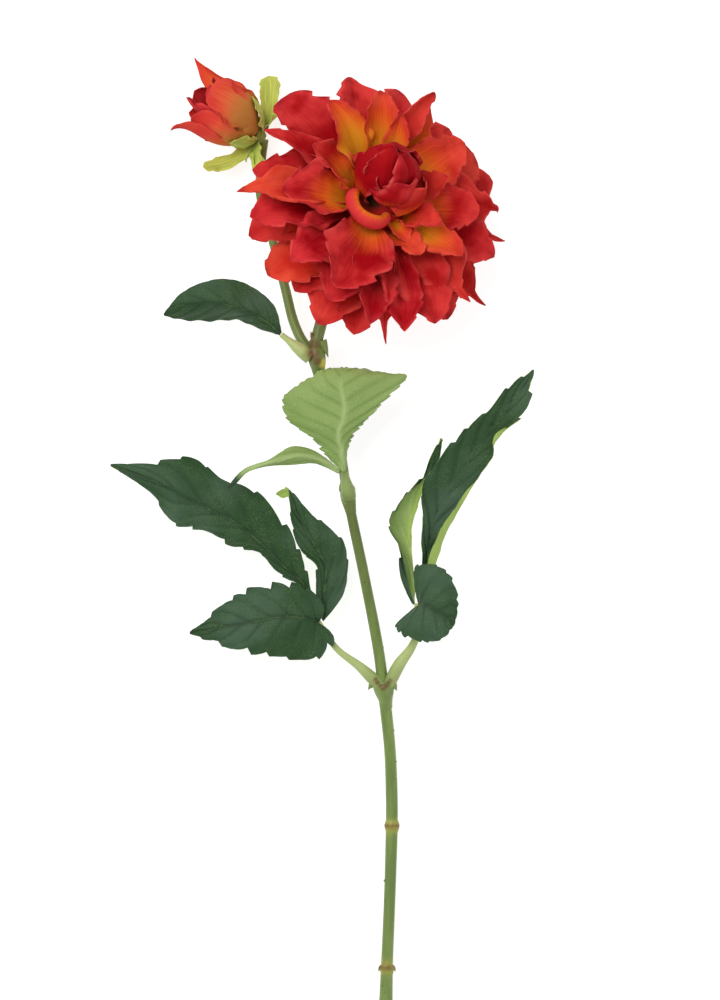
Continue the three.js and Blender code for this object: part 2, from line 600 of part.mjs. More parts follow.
// Each leaf is a smooth sheet through curves that run from its root to its tip, listed from one edge to the
// other. A sheet that is folded over has a curve for the fold. Its edges carry teeth.
const LEAVES = {
  top_leaf: {
    curves: [
      [
        [-19.9, 101, 27.5], [-24, 115, 29], [-38, 125.5, 31], [-53, 127.5, 31], [-69, 121.5, 29],
        [-79, 110.5, 26],
      ],
      [
        [-20.3, 100.3, 27.5], [-30, 108, 29], [-42, 113.5, 31], [-55, 115.5, 32], [-68, 114, 30],
        [-79, 110, 26],
      ],
      [
        [-20.7, 99.6, 27.5], [-31, 103, 25], [-42, 107.5, 22], [-55, 107, 21], [-69, 107.5, 22],
        [-79, 109.5, 26],
      ],
    ],
    teeth: 0,
  },
  front_leaf: {
    curves: [
      [
        [10.6, 31.5, 26.8], [1.5, 40, 28], [-6, 49, 29], [-17, 57, 29], [-19.5, 68, 30], [-10, 76, 31],
        [0, 82, 31], [6, 82.5, 28], [13, 79, 26],
      ],
      [
        [11.5, 31.5, 26.8], [10, 42, 30], [8.5, 50, 33], [11, 58, 35], [11.5, 66, 36], [10, 74, 37],
        [11, 81, 36], [12, 83, 32], [13, 79, 26],
      ],
      [
        [12.4, 31.5, 26.8], [13.5, 42, 29], [17, 50, 31], [24, 58, 32], [33, 66.5, 33], [43, 78, 34],
        [30, 81.5, 33], [21, 82.5, 29], [13, 79, 26],
      ],
    ],
    teeth: 0.05,
  },
  front_side_leaflet: {
    curves: [
      [
        [8.8, 30.6, 25.6], [-2, 35, 27], [-13, 34.8, 31], [-26, 34, 34], [-36, 31.5, 35],
        [-41.5, 26.5, 34], [-46, 23, 31],
      ],
      [
        [9.1, 31.1, 25.8], [-2, 38, 29], [-13, 39, 34], [-26, 35.7, 37], [-36.5, 32.3, 37],
        [-42, 27.6, 35], [-46, 23, 31],
      ],
      [
        [9.2, 31.7, 25.8], [-2, 41, 27], [-14, 44, 31], [-26, 37.2, 34], [-37, 33.2, 35],
        [-42.5, 28.8, 34], [-46, 23, 31],
      ],
    ],
    teeth: 0,
  },
  left_leaflet_long: {
    curves: [
      [
        [-1.8, -43.3, 14.9], [-5, -28.5, 17], [-9, -12, 20], [-18, 6, 23], [-32, 21.5, 24], [-50, 28, 21],
        [-64, 38.5, 25], [-82, 37, 22], [-106, 35, 18],
      ],
      [
        [-2.3, -43.6, 14.9], [-7, -28, 15], [-18, -17, 16], [-30, -5, 18], [-42, 5, 19], [-55, 12, 20],
        [-68, 18, 20], [-84, 26.5, 20], [-106, 34.5, 18],
      ],
      [
        [-2.9, -44, 14.9], [-8.5, -29.5, 14], [-22, -20, 14], [-31, -10, 15], [-45, -6.5, 18],
        [-60, 1.5, 14], [-74, 4.5, 18], [-87, 21, 17], [-106, 34, 18],
      ],
    ],
    teeth: 0.12,
  },
  left_leaflet_middle: {
    curves: [
      [
        [1, -44, 14.8], [11, -31, 14], [13.5, -17, 15], [11.5, -4, 17], [2, 5, 19], [-7, 12.5, 19],
        [-15.5, 21.5, 17], [-18.5, 17.5, 17], [-22.5, 19, 16],
      ],
      [
        [0.6, -43.4, 14.9], [1.5, -32, 16], [2.5, -17, 19], [-2, -7.5, 20], [-8, 2.5, 19], [-13, 12, 18],
        [-16, 19.5, 18], [-19, 19.5, 18], [-22.5, 19.3, 16],
      ],
      [
        [0.2, -42.8, 14.9], [-3, -30, 17], [-3.2, -16, 18], [-10.5, -8.5, 18], [-14, 0.5, 17],
        [-15.5, 9, 17], [-16.2, 17.5, 17], [-18.5, 21.5, 19], [-22.5, 19.6, 16],
      ],
    ],
    teeth: 0.1,
  },
  left_leaflet_low: {
    curves: [
      [
        [-0.6, -43.8, 17.4], [1.5, -35, 20.5], [-9.5, -25.5, 23], [-22, -24, 22.5], [-33, -25.5, 22],
        [-44, -31, 20], [-55, -39.5, 17], [-66.3, -49.5, 13],
      ],
      [
        [-1, -44.5, 17.4], [-4, -43.6, 19], [-12, -42, 21], [-22, -42, 22], [-33, -44, 22],
        [-44, -46, 20], [-55, -48, 17], [-66.3, -50, 13],
      ],
      [
        [-0.7, -45.3, 17.4], [7.5, -53, 17], [-1, -63, 17], [-14, -63.5, 19], [-27, -61.5, 20],
        [-40, -60, 18], [-52, -56, 16], [-66.3, -50.5, 13],
      ],
    ],
    teeth: 0.1,
  },
  right_leaflet_long: {
    curves: [
      [
        [49.7, -34.4, 17.5], [53.5, -14.5, 23], [58.3, -1, 26], [66, 12, 29], [76.5, 26, 30],
        [86, 38.5, 31], [86.5, 50, 34], [99.5, 57, 31], [105.5, 68, 28], [106.7, 82, 24],
      ],
      [
        [49.4, -34.4, 17.3], [57.4, -15, 20], [61.5, -2, 22], [68, 11, 25], [75, 24, 28], [81, 36, 29],
        [88.5, 48, 31], [96, 57, 30], [102, 69, 27], [106.9, 82, 24],
      ],
      [
        [48.9, -34.4, 17.1], [53.5, -14.5, 18], [55, -2, 20], [58.5, 10, 22], [64, 23, 25],
        [73.5, 37, 27], [82, 49, 28], [91, 60, 28], [98.5, 70.5, 26], [106.6, 82.3, 24],
      ],
      [
        [48.3, -34.4, 17], [50.7, -14.5, 19], [50.3, -3, 22], [51, 9, 25], [50.5, 24, 28], [60, 39.5, 29],
        [71, 52, 29], [83.5, 62.5, 29], [94, 74.5, 27], [106.4, 82.6, 24],
      ],
    ],
    teeth: 0.08,
  },
  right_leaflet_inner: {
    curves: [
      [
        [46.3, -35, 17.3], [43, -23, 21], [40.5, -10, 24], [34.3, 2, 25], [34.8, 9.5, 26], [41, 18.5, 26],
        [50.5, 27, 24], [59, 37, 22], [60.2, 47.8, 20],
      ],
      [
        [46.2, -35.2, 17], [46, -23.5, 18], [45, -12, 20], [44.2, 0, 21], [46, 9.5, 22], [49, 18.5, 22],
        [52.5, 27.5, 22], [57.7, 36, 21], [60.3, 47.9, 20],
      ],
      [
        [46.1, -35.5, 16.7], [43, -22.5, 15], [42, -11, 16], [41.5, 1, 17], [43, 10, 18], [46, 19, 19],
        [51, 27, 20], [56, 36, 20], [60.1, 48, 20],
      ],
      [
        [46, -35.8, 16.4], [39.5, -22, 16], [39, -10, 17], [38, 2, 18], [38, 10, 19], [42, 20, 20],
        [49, 27, 21], [53.5, 36.5, 21], [60, 48.1, 20],
      ],
    ],
    teeth: 0.06,
  },
  right_leaflet_low: {
    curves: [
      [
        [47.8, -36.2, 19.6], [37.5, -46, 22], [42, -52, 25], [52, -54.5, 29], [61, -52.5, 33],
        [66.3, -46, 35],
      ],
      [
        [48.4, -35.7, 19.6], [50.5, -35, 26], [55, -37, 31], [60.5, -40, 34], [64, -43, 35.5],
        [66.7, -45.5, 35],
      ],
      [
        [48.8, -35, 19.7], [46.5, -17, 24], [58, -15.5, 28], [66, -22.5, 33], [68.7, -34, 36],
        [67, -45, 35],
      ],
    ],
    teeth: 0.08,
  },
};

const TOOTH_DEPTH = 2.5; // how far a tooth's notch goes in, in strips of the leaf's width
const TIP_WIDTH = 0.12; // a leaf's blunt tip, as a share of the row before it

// A leaf's sheet as a grid of points, rows from root to tip and columns from edge to edge.
function leafGrid({ curves, teeth }, rows, columns) {
  const lines = curves.map((curve) => curve.map((p) => new THREE.Vector3(...p)));
  const grid = Array.from({ length: rows + 1 }, (_, i) => {
    const section = lines.map((line) => smoothly(line, i / rows));
    return Array.from({ length: columns + 1 }, (_, j) => smoothly(section, j / columns));
  });
  for (let i = 1; i < rows; i += 2) {
    grid[i][0].lerp(grid[i][1], TOOTH_DEPTH * teeth);
    grid[i][columns].lerp(grid[i][columns - 1], TOOTH_DEPTH * teeth);
  }
  const tip = grid[rows][columns / 2].clone();
  const before = grid[rows - 1][columns / 2];
  grid[rows].forEach((point, j) => {
    point.copy(tip).add(grid[rows - 1][j].clone().sub(before).multiplyScalar(TIP_WIDTH));
  });
  return grid;
}

const petalRed = new THREE.MeshStandardMaterial({ color: 0xb8161c, roughness: 0.7, metalness: 0 });
const budRed = new THREE.MeshStandardMaterial({ color: 0xc8452a, roughness: 0.7, metalness: 0 });
const leafGreen = new THREE.MeshStandardMaterial({ color: 0x35513a, roughness: 0.6, metalness: 0 });
const sepalGreen = new THREE.MeshStandardMaterial({ color: 0xa8b455, roughness: 0.6, metalness: 0 });
const stemGreen = new THREE.MeshStandardMaterial({ color: 0x6b8143, roughness: 0.45, metalness: 0 });

const dahlia = new THREE.Group();
const stem = restedOnTable(grown([MAIN_STEM, BUD_STALK, ...JOINTS].map((part) => rod(part))));
const stemClearance = grown([MAIN_STEM, BUD_STALK, ...JOINTS].map((part) => rod(part, SEAT_GAP)));
dahlia.add(meshFrom("bloom_petals", bloomPetals(), petalRed));
dahlia.add(meshFrom("bloom_calyx", bloomCalyx().subtract(stemClearance), sepalGreen));
dahlia.add(meshFrom("bud_petals", budPetals(), budRed));
dahlia.add(meshFrom("bud_calyx", budCalyx().subtract(stemClearance), sepalGreen));
dahlia.add(meshFrom("stem", stem, stemGreen));
for (const [name, part] of Object.entries(PETIOLES))
  dahlia.add(meshFrom(name, rod(part).subtract(stemClearance), stemGreen));
for (const [name, leaf] of Object.entries(LEAVES)) {
  const grid = leafGrid(leaf, 2 * leaf.curves[0].length - 4, 4);
  dahlia.add(meshFrom(name, blade(grid, LEAF_THICKNESS), leafGreen));
}

export default dahlia;
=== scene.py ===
"""A cut dahlia that lies face up: a double bloom, a half-open bud and toothed leaves on a jointed stem.

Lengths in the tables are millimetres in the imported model's own frame, and meshes are written in metres.
"""

import logging
import math
from dataclasses import asdict, dataclass, field, replace
from enum import Enum
from typing import Optional, Sequence, Union

import bpy
import numpy as np
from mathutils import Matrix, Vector

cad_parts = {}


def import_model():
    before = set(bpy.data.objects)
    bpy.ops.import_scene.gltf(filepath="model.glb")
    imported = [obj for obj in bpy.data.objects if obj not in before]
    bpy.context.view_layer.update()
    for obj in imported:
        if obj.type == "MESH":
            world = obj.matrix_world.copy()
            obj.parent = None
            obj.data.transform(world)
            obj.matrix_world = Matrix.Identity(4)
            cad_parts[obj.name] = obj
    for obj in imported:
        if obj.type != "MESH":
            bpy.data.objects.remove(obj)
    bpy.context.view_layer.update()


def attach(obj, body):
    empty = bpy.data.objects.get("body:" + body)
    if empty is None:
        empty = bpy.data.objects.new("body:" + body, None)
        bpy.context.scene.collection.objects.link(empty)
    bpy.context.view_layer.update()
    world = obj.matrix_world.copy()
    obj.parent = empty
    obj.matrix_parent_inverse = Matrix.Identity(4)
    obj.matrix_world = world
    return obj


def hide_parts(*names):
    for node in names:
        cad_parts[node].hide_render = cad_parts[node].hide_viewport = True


LOG = logging.getLogger("dahlia")

MM = 0.001
SEED = 7
DRAW_SPREAD = {"sway": 7, "twist": 12, "phase": 1, "hook": 28}  # how far each of a petal's draws reaches
PETAL_THICKNESS = 0.4
LEAF_THICKNESS = 0.5
LEAF_STRIPS = (150, 36)
COLLAR_STRIPS = (36, 40)
ROD_SIDES = 24
TABLE_GAP = 0.05  # nothing lies nearer to the table than this
CREASE = math.radians(55)  # faces that meet at a larger angle are shaded apart
THREADS_A_METRE = 2200.0
WAVES_TO_SCALE = 2 * math.pi / 20  # a wave texture's scale for one wave a metre
BUMP_DEPTH = 0.4 * MM
NUBS_A_SQUARE_METRE = 5500.0
NUB_RADIUS = 0.6
SPAN_STEPS = 40  # points of a curve between two control points, before they are spaced evenly
AIM_STEPS = 40  # places along a petal at which its lean is read to aim it
AIM_ROUNDS = 8

# Each head's centre, its tilt from upright and its heading in degrees, and the sides of its round bodies.
BLOOM_SEAT = ((25.5, 161.5, 45.0), 32.0, 47.0, 32)
HEART_SEAT = ((30.5, 163.5, 53.0), 44.0, 80.0, 32)
BUD_SEAT = ((-33.5, 201.5, 15.0), 74.0, 147.0, 24)

Colour = tuple[float, float, float]
Material = bpy.types.Material
Pair = tuple[float, float]
Point = tuple[float, float, float]
Socket = bpy.types.NodeSocket
Strips = tuple[int, int]


def srgb(red: int, green: int, blue: int) -> Colour:
    """A colour given in 8-bit screen values, as linear light.

    Args:
        red: red from 0 to 255.
        green: green from 0 to 255.
        blue: blue from 0 to 255.

    Returns:
        The linear red, green and blue.
    """
    values = [channel / 255 for channel in (red, green, blue)]
    return tuple(v / 12.92 if v <= 0.04045 else ((v + 0.055) / 1.055) ** 2.4 for v in values)


class Slot(Enum):
    """The record's material slots."""

    BLOOM = "bloom_petal"
    BUD = "bud_petal"
    SEPAL = "sepal"
    STEM = "stem"
    LEAF = "leaf"


class Draws:
    """Seeded numbers between -1 and 1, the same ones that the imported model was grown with."""

    def __init__(self, seed: int) -> None:
        """Starts the row of numbers at a seed."""
        self.state = seed

    def next(self) -> float:
        """The next number."""
        self.state = (self.state * 1664525 + 1013904223) % 4294967296
        return self.state / 2147483648 - 1


@dataclass(frozen=True)
class Look:
    """How a petal is coloured.

    warmth goes from crimson (0) to orange (1), glow is the share of the length that is yellow from the root,
    rim is how pale the edge is, fade how pale the back is, depth how far the deep red spreads over the coral,
    and blush how red the outer half is.
    """

    warmth: float = 0.3
    glow: float = 0.15
    rim: float = 0.5
    fade: float = 0.35
    depth: float = 0.0
    blush: float = 0.0


@dataclass(frozen=True)
class Petal:
    """One petal: where it springs from, how it leans and cups, and how wide it is. Angles are in degrees."""

    root: Pair = (13.0, 3.0)
    lean: Pair = (60.0, 100.0)
    bend: float = 1.3
    cup: Pair = (40.0, 10.0)
    width: float = 28.0
    root_width: float = 0.42
    widest: float = 0.6
    point: float = 0.75
    waves: float = 1.2
    ruffle: float = 0.14
    roll: float = 0.08
    turn: float = 0.0
    length: float = 40.0
    azimuth: float = 0.0
    tip: Optional[Pair] = None
    sway: Optional[float] = None
    twist: Optional[float] = None
    phase: Optional[float] = None
    hook: Optional[float] = None
    hook_from: float = 0.75
    finger: float = 0.0
    nip: float = 30.0
    crimp: float = 1.0
    roll_out: float = 0.0
    look: Look = Look()

    def lean_at(self, share: np.ndarray) -> np.ndarray:
        """The lean from the head's axis, in radians, at a share of the length."""
        curl = self.hook * np.maximum((share - self.hook_from) / (1 - self.hook_from), 0) ** 2
        return np.radians(self.lean[0] + (self.lean[1] - self.lean[0]) * share**self.bend + curl)

    def width_at(self, share: np.ndarray) -> np.ndarray:
        """How wide the petal is: narrow at its root, broad in its middle and pointed at its tip.

        Args:
            share: shares of the length.

        Returns:
            Shares of the full width.
        """
        share = np.clip(share, 0, 1)
        body = share / (1 - self.finger)
        low = np.sin(np.pi / 2 * np.minimum(body / self.widest, 1)) ** 1.3
        high = 1 - np.clip((body - self.widest) / (1 - self.widest), 0, 1) ** 1.8
        broad = self.root_width + (1 - self.root_width) * low
        drawn_out = 0.17 * np.clip((1 - share) / 0.3, 0, 1) ** 0.5 if self.finger else 0.0
        narrow = np.maximum(high, 0) ** self.point + 0.02
        return np.maximum(np.where(body < self.widest, broad, narrow), drawn_out)

    def grown(self, draws: Draws) -> "Petal":
        """The petal with the small differences that the seeded draws give it."""
        drawn = {key: spread * draws.next() for key, spread in DRAW_SPREAD.items()}
        return replace(self, **{key: value for key, value in drawn.items() if getattr(self, key) is None})

    def aimed(self, head: np.ndarray) -> "Petal":
        """The petal turned and lengthened so that its tip lies over its point of the plan.

        Args:
            head: the head's 3 by 3 axes, one in each column.

        Returns:
            The petal, or itself where it is set by angle and length.
        """
        if self.tip is None:
            return replace(self, azimuth=math.radians(self.azimuth))
        steps = (np.arange(AIM_STEPS) + 0.5) / AIM_STEPS
        reach = float(np.mean(np.sin(self.lean_at(steps))))
        rise = float(np.mean(np.cos(self.lean_at(steps))))
        sideways, upwards, axis = head[:, 0], head[:, 1], head[:, 2]
        area = sideways[0] * upwards[1] - upwards[0] * sideways[1]
        length, azimuth = self.length, 0.0
        for _ in range(AIM_ROUNDS):
            height = self.root[1] + length * rise
            x, y = self.tip[0] - height * axis[0], self.tip[1] - height * axis[1]
            across = (x * upwards[1] - y * upwards[0]) / area
            up = (y * sideways[0] - x * sideways[1]) / area
            azimuth = math.atan2(up, across)
            length = (math.hypot(across, up) - self.root[0]) / reach
        return replace(self, azimuth=azimuth, length=length)

    def grid(self, strips: Strips) -> np.ndarray:
        """The petal as points in the head's frame, rows from root to tip and columns from edge to edge.

        Args:
            strips: the numbers of strips along it and across.

        Returns:
            An array of points, one more each way than the strips.
        """
        rows, columns = strips
        fine = 4  # steps walked along each strip
        outward = np.array([math.cos(self.azimuth), math.sin(self.azimuth), 0.0])
        around = np.array([-outward[1], outward[0], 0.0])
        axis = np.array([0.0, 0.0, 1.0])
        at = (np.arange(rows * fine) + 0.5) / (rows * fine)
        lean, sway = self.lean_at(at), np.radians(self.sway) * np.cos(np.pi * at)
        steps = np.outer(np.cos(lean) * np.cos(sway), axis) + np.outer(np.sin(lean) * np.cos(sway), outward)
        steps += np.outer(np.sin(sway), around)
        walked = np.vstack([np.zeros(3), np.cumsum(steps * self.length / (rows * fine), axis=0)])[::fine]
        middle = self.root[0] * outward + self.root[1] * axis + walked
        s = np.linspace(0, 1, rows + 1)
        u = np.linspace(-1, 1, columns + 1)
        lean = self.lean_at(s)
        inward = np.outer(np.sin(lean), axis) - np.outer(np.cos(lean), outward)
        twist = np.radians(self.turn + self.twist * s * s)[:, None]
        across = np.cos(twist) * around + np.sin(twist) * inward
        lift = np.cos(twist) * inward - np.sin(twist) * around
        half = (self.width / 2 * self.width_at(s))[:, None] * self.outline(s[:, None], u)
        nip = self.nip * (0.6 + 0.4 * math.sin(17 * self.phase)) * np.clip((s - 0.6) / 0.4, 0, 1) ** 1.5
        cup = np.radians(np.maximum(np.interp(s, [0, 1], self.cup), 1) + nip)[:, None]
        wave = np.sin(2 * np.pi * (self.waves * s[:, None] + self.phase + np.where(u < 0, 0, 0.37)))
        edge = self.ruffle * wave * s[:, None] * u**2 - self.roll * u**4
        rise = half / cup * (1 - np.cos(cup * u)) + half * edge + self.folds(s[:, None], u, half)
        side = half / cup * np.sin(cup * u)
        return middle[:, None, :] + side[..., None] * across[:, None, :] + rise[..., None] * lift[:, None, :]

    def outline(self, s: np.ndarray, u: np.ndarray) -> np.ndarray:
        """How the width wanders along each edge.

        Args:
            s: shares of the length.
            u: places across, from -1 to 1.

        Returns:
            Factors near 1.
        """
        side = np.where(u < 0, 0.0, 0.43)
        slow = 0.1 * np.sin(2 * np.pi * (1.9 * s + 2.3 * self.phase + side))
        quick = 0.035 * np.sin(2 * np.pi * (5.3 * s + 5.1 * self.phase + 2 * side))
        frayed = 0.19 * ((7.3 * s + 3.7 * self.phase + side) % 1) * np.clip((s - 0.62) / 0.1, 0, 1)
        return 1 + (slow + quick) * np.sin(np.pi * s) - frayed * self.crimp**2

    def folds(self, s: np.ndarray, u: np.ndarray, half: np.ndarray) -> np.ndarray:
        """The soft ribs, the fine waves of the rim, the pleats and the crease down the middle.

        Args:
            s: shares of the length.
            u: places across, from -1 to 1.
            half: half the width at each place, in millimetres.

        Returns:
            Heights in millimetres.
        """
        fade = np.sin(np.pi * np.clip(s, 0, 1)) ** 0.6
        size = min(self.width / 28, 1)
        ribs = 0.16 * np.cos(13 * u + 2.2 * math.sin(9 * self.phase) * s) * fade * (1 - u**4)
        side = np.where(u < 0, 0.2, 0.65)
        rim = 1.9 * np.sin(2 * np.pi * (2.4 * s + 1.7 * self.phase + side)) * np.abs(u) ** 3
        rim += 0.9 * np.sin(2 * np.pi * (4.6 * s + 3.3 * self.phase + side)) * np.abs(u) ** 4
        crease = -0.5 * np.exp(-((u / 0.12) ** 2)) * fade
        curl = 0.2 * half * np.maximum(np.abs(u) - 0.8, 0) ** 2 / 0.04 * fade * math.sin(5 * self.phase)
        rolled = -self.roll_out * half * (np.maximum(np.abs(u) - 0.66, 0) / 0.34) ** 2 * fade
        pleats = 0.0
        for place, lean, deep in ((0.45, 0.5, 0.16), (-0.5, -0.3, -0.12), (0.1, -0.7, 0.1)):
            middle = place * math.sin(11 * self.phase + 5 * lean)
            off = u - middle - lean * (s - 0.5) * math.cos(7 * self.phase)
            pleats = pleats + deep * (np.sqrt(off**2 + 0.0016) - 0.4)
        crimped = (rim * size + pleats * half) * fade * self.crimp
        return (ribs + crease) * size + crimped + curl + rolled


@dataclass(frozen=True)
class Ring:
    """A ring of petals that share a form, each with its own differences, and the strips of their grids."""

    name: str
    form: Petal
    petals: tuple[dict, ...]
    strips: Strips = (40, 26)


def tips(*rows: tuple) -> tuple[dict, ...]:
    """Petals given as a tip, a look and, where needed, further differences."""
    return tuple({"tip": row[0], "look": Look(*row[1]), **(row[2] if len(row) > 2 else {})} for row in rows)


def turned(*rows: tuple) -> tuple[dict, ...]:
    """Petals given as a pair of azimuth and length, a look and, where needed, further differences."""
    return tuple({**own, "tip": None, **dict(zip(("azimuth", "length"), own["tip"]))} for own in tips(*rows))


HEART_RING = Ring(
    "bloom_heart",
    Petal(
        root=(6, 4), lean=(60, -70), bend=1, cup=(50, 64), width=30, root_width=0.5, point=0.5, ruffle=0.16,
        crimp=0.85,
    ),
    turned(
        ((192, 43), (0.05, 0.35, 1.6, 0.03, 0.55), {"width": 30, "roll_out": 0.35}),
        ((20, 42), (0.05, 0.0, 0.9, 0.03, 0.6)),
        ((80, 44), (0.0, 0.0, 0.9, 0.03, 0.6)),
        ((140, 43), (0.0, 0.0, 0.9, 0.03, 0.65)),
        ((335, 41), (0.1, 0.1, 1.7, 0.03, 0.5), {"width": 22, "lean": (54, -50)}),
        (
            (302, 31), (0.2, 0.45, 0.7, 0.06, 0.2),
            {"width": 30, "root": (4, 6), "root_width": 0.35, "lean": (70, -16), "hook": 40},
        ),
        ((330, 30), (0.45, 0.5, 0.6, 0.06, 0.1), {"root": (9, 0), "lean": (60, -14), "hook": 40}),
        (
            (258, 43), (0.15, 0.0, 1.7, 0.03, 0.6),
            {"width": 24, "root": (4, 5), "lean": (44, -46), "roll_out": 0.2},
        ),
        (
            (310, 41), (0.05, 0.0, 1.7, 0.06, 0.1),
            {"width": 19, "root": (5, 5), "lean": (48, -40), "twist": 35},
        ),
        ((230, 41), (0.0, 0.0, 0.9, 0.03, 0.7), {"width": 21, "root": (4, 6), "lean": (38, -50)}),
        ((350, 40), (0.0, 0.0, 1.0, 0.03, 0.6), {"width": 21, "root": (3.5, 6), "lean": (34, -50)}),
    ),
)
UPRIGHT_RING = Ring(
    "bloom_upright_petals",
    Petal(root=(13, 9), lean=(24, 58), cup=(62, 34), width=17),
    tips(
        ((14.5, 48), (0.5, 0.8, 0.3), {"width": 15}),
        ((37.5, 16), (0.45, 0.35, 0.5)),
        ((34.5, -8), (0.45, 0.35, 0.5)),
        ((18, -17), (0.9, 0.6, 0.4), {"width": 12, "root": (11, 12), "lean": (56, 84)}),
    ),
)
MIDDLE_RING = Ring(
    "bloom_middle_petals",
    Petal(root=(13, 6), lean=(44, 90), root_width=0.3, cup=(55, 20), width=28, turn=9),
    tips(
        ((4, 60), (0.75, 0.75, 0.4), {"width": 24}),
        ((28, 53), (0.75, 0.8, 0.4), {"width": 24}),
        ((46.5, 34), (0.6, 0.6, 0.5)),
        ((53, -2.5), (0.3, 0.5, 0.3)),
        ((45, -23), (0.65, 0.75, 0.4), {"width": 20}),
        ((24, -23), (0.85, 0.55, 0.5), {"width": 17, "lean": (40, 70), "point": 0.5}),
        ((-18, -39.5), (0.2, 0.34, 0.7), {"width": 38, "root": (13, 10), "lean": (58, 108), "turn": 0}),
        ((-40, -26.5), (0.02, 0.1, 0.9), {"width": 29, "root": (13, 5), "lean": (60, 108)}),
        ((-44.5, 9), (0.15, 0.55, 0.8), {"width": 29, "lean": (52, 100)}),
        ((-29.5, 31.5), (0.4, 0.55, 0.8), {"width": 24, "lean": (40, 80)}),
        ((-21.5, 54.5), (0.55, 0.85, 0.7), {"width": 24}),
    ),
)
WIDE_RING = Ring(
    "bloom_wide_petals",
    Petal(root=(13, 3), lean=(66, 108), root_width=0.26, cup=(42, 12), width=32, turn=9),
    tips(
        ((-10.5, 67.5), (0.3, 0.3, 0.8)),
        (
            (32.5, 61), (0.45, 0.2, 0.8),
            {"width": 15, "root": (13, 11), "lean": (44, 94), "sway": 24, "twist": 30, "cup": (70, 70)},
        ),
        ((53, 25), (0.5, 0.3, 0.6)),
        ((63, 0), (0.35, 0.2, 0.5), {"finger": 0.14, "hook": 60}),
        ((61, -23), (0.2, 0.3, 0.5), {"width": 28, "point": 0.95}),
        ((49, -46), (0.4, 0.2, 0.5), {"finger": 0.15, "hook": -50}),
        ((31.5, -57), (0.3, 0.1, 0.6)),
        ((16, -61), (0.1, 0.1, 0.8), {"width": 28, "cup": (62, 46), "turn": 0}),
        ((-1, -57), (0.08, 0.1, 0.8), {"width": 28, "cup": (62, 46)}),
        ((-21, -46), (0.15, 0.1, 0.7)),
        ((-60.5, -4.5), (0.12, 0.1, 0.7)),
        ((-59.5, 19.5), (0.25, 0.1, 0.6), {"width": 26, "root": (13, 2), "lean": (70, 110)}),
        ((-46, 55), (0.2, 0.1, 0.8), {"width": 36, "point": 0.42}),
    ),
)
OUTER_RING = Ring(
    "bloom_outer_petals",
    Petal(root=(12, 0), lean=(84, 130), root_width=0.24, cup=(30, 8), width=31, turn=9),
    tips(
        ((39, 43), (0.45, 0.1, 0.6), {"lean": (84, 116)}),
        ((61, 16), (0.35, 0.1, 0.6), {"lean": (84, 116)}),
        ((67, -14), (0.3, 0.1, 0.6), {"width": 26, "finger": 0.12, "hook": -40}),
        ((57, -47), (0.4, 0.1, 0.6), {"finger": 0.14, "hook": -60}),
        ((38, -54), (0.35, 0.1, 0.6)),
        ((7, -67), (0.25, 0.1, 0.8), {"width": 22, "finger": 0.2, "hook": -40}),
        ((-9, -62.5), (0.35, 0.1, 0.8)),
        ((-27, -57), (0.4, 0.1, 0.7)),
        ((-38.5, -41), (0.4, 0.1, 0.7)),
        ((-52, -33), (0.85, 0.3, 0.5)),
        ((-61.5, -13), (0.3, 0.1, 0.8)),
        (
            (-67, 8), (0.85, 0.3, 0.5),
            {"width": 25, "root": (13, 5.5), "lean": (64, 114), "point": 1.1, "cup": (60, 50)},
        ),
        (
            (-54, 39.5), (0.25, 0.1, 0.6),
            {"width": 18, "root": (13, 7), "lean": (62, 108), "point": 1.1, "cup": (50, 45)},
        ),
        ((-38, 61), (0.25, 0.1, 0.8)),
        ((14, 62), (0.3, 0.2, 0.8), {"lean": (84, 116)}),
    ),
)
BRACT_RING = Ring(
    "bloom_green_cup",
    Petal(root=(7, -6.5), lean=(112, 128), cup=(20, 10), width=10, root_width=0.7),
    turned(*(((angle, 16), ()) for angle in range(0, 360, 60))),
    (16, 10),
)
BUD_RING = Ring(
    "bud_flower",
    Petal(
        root=(4.5, 1.5), lean=(80, -24), bend=0.55, cup=(58, 60), width=26, root_width=0.45, point=0.4, nip=0,
        crimp=0.35,
    ),
    turned(
        ((-44, 39), (0.9, 0.8, 0.3), {"lean": (84, -18), "point": 0.3, "hook": 10, "root_width": 0.62}),
        ((-125, 36), (0.9, 0.66, 0.7)),
        ((-150, 43), (0.95, 0.5, 0.9), {"hook": 90, "hook_from": 0.55, "point": 0.9, "width": 19}),
        ((165, 35), (0.4, 0.5, 0.5)),
        ((113, 36), (0.4, 0.5, 0.5)),
        (
            (82, 49), (1.0, 0.7, 0.5),
            {"lean": (76, -6), "hook": 64, "hook_from": 0.5, "width": 16, "widest": 0.5, "point": 1.5},
        ),
        ((30, 36), (0.8, 0.8, 0.7), {"width": 18, "hook": 10}),
        ((-20, 33), (0.8, 0.7), {"lean": (80, 0), "width": 9, "point": 1.0, "hook": 40}),
        ((-20, 33), (0.2, 0.4, 0.5), {"root": (3, 4), "lean": (62, -20), "width": 20}),
        ((100, 34), (0.1, 0.4, 0.5), {"root": (2.5, 5), "lean": (58, -24), "width": 20}),
        ((220, 32), (0.05, 0.4, 0.5), {"root": (2.5, 5), "lean": (58, -24), "width": 20}),
        ((190, 35), (0.0, 0.2, 0.6), {"root": (2, 6), "lean": (48, -20), "width": 12}),
    ),
    (40, 24),
)
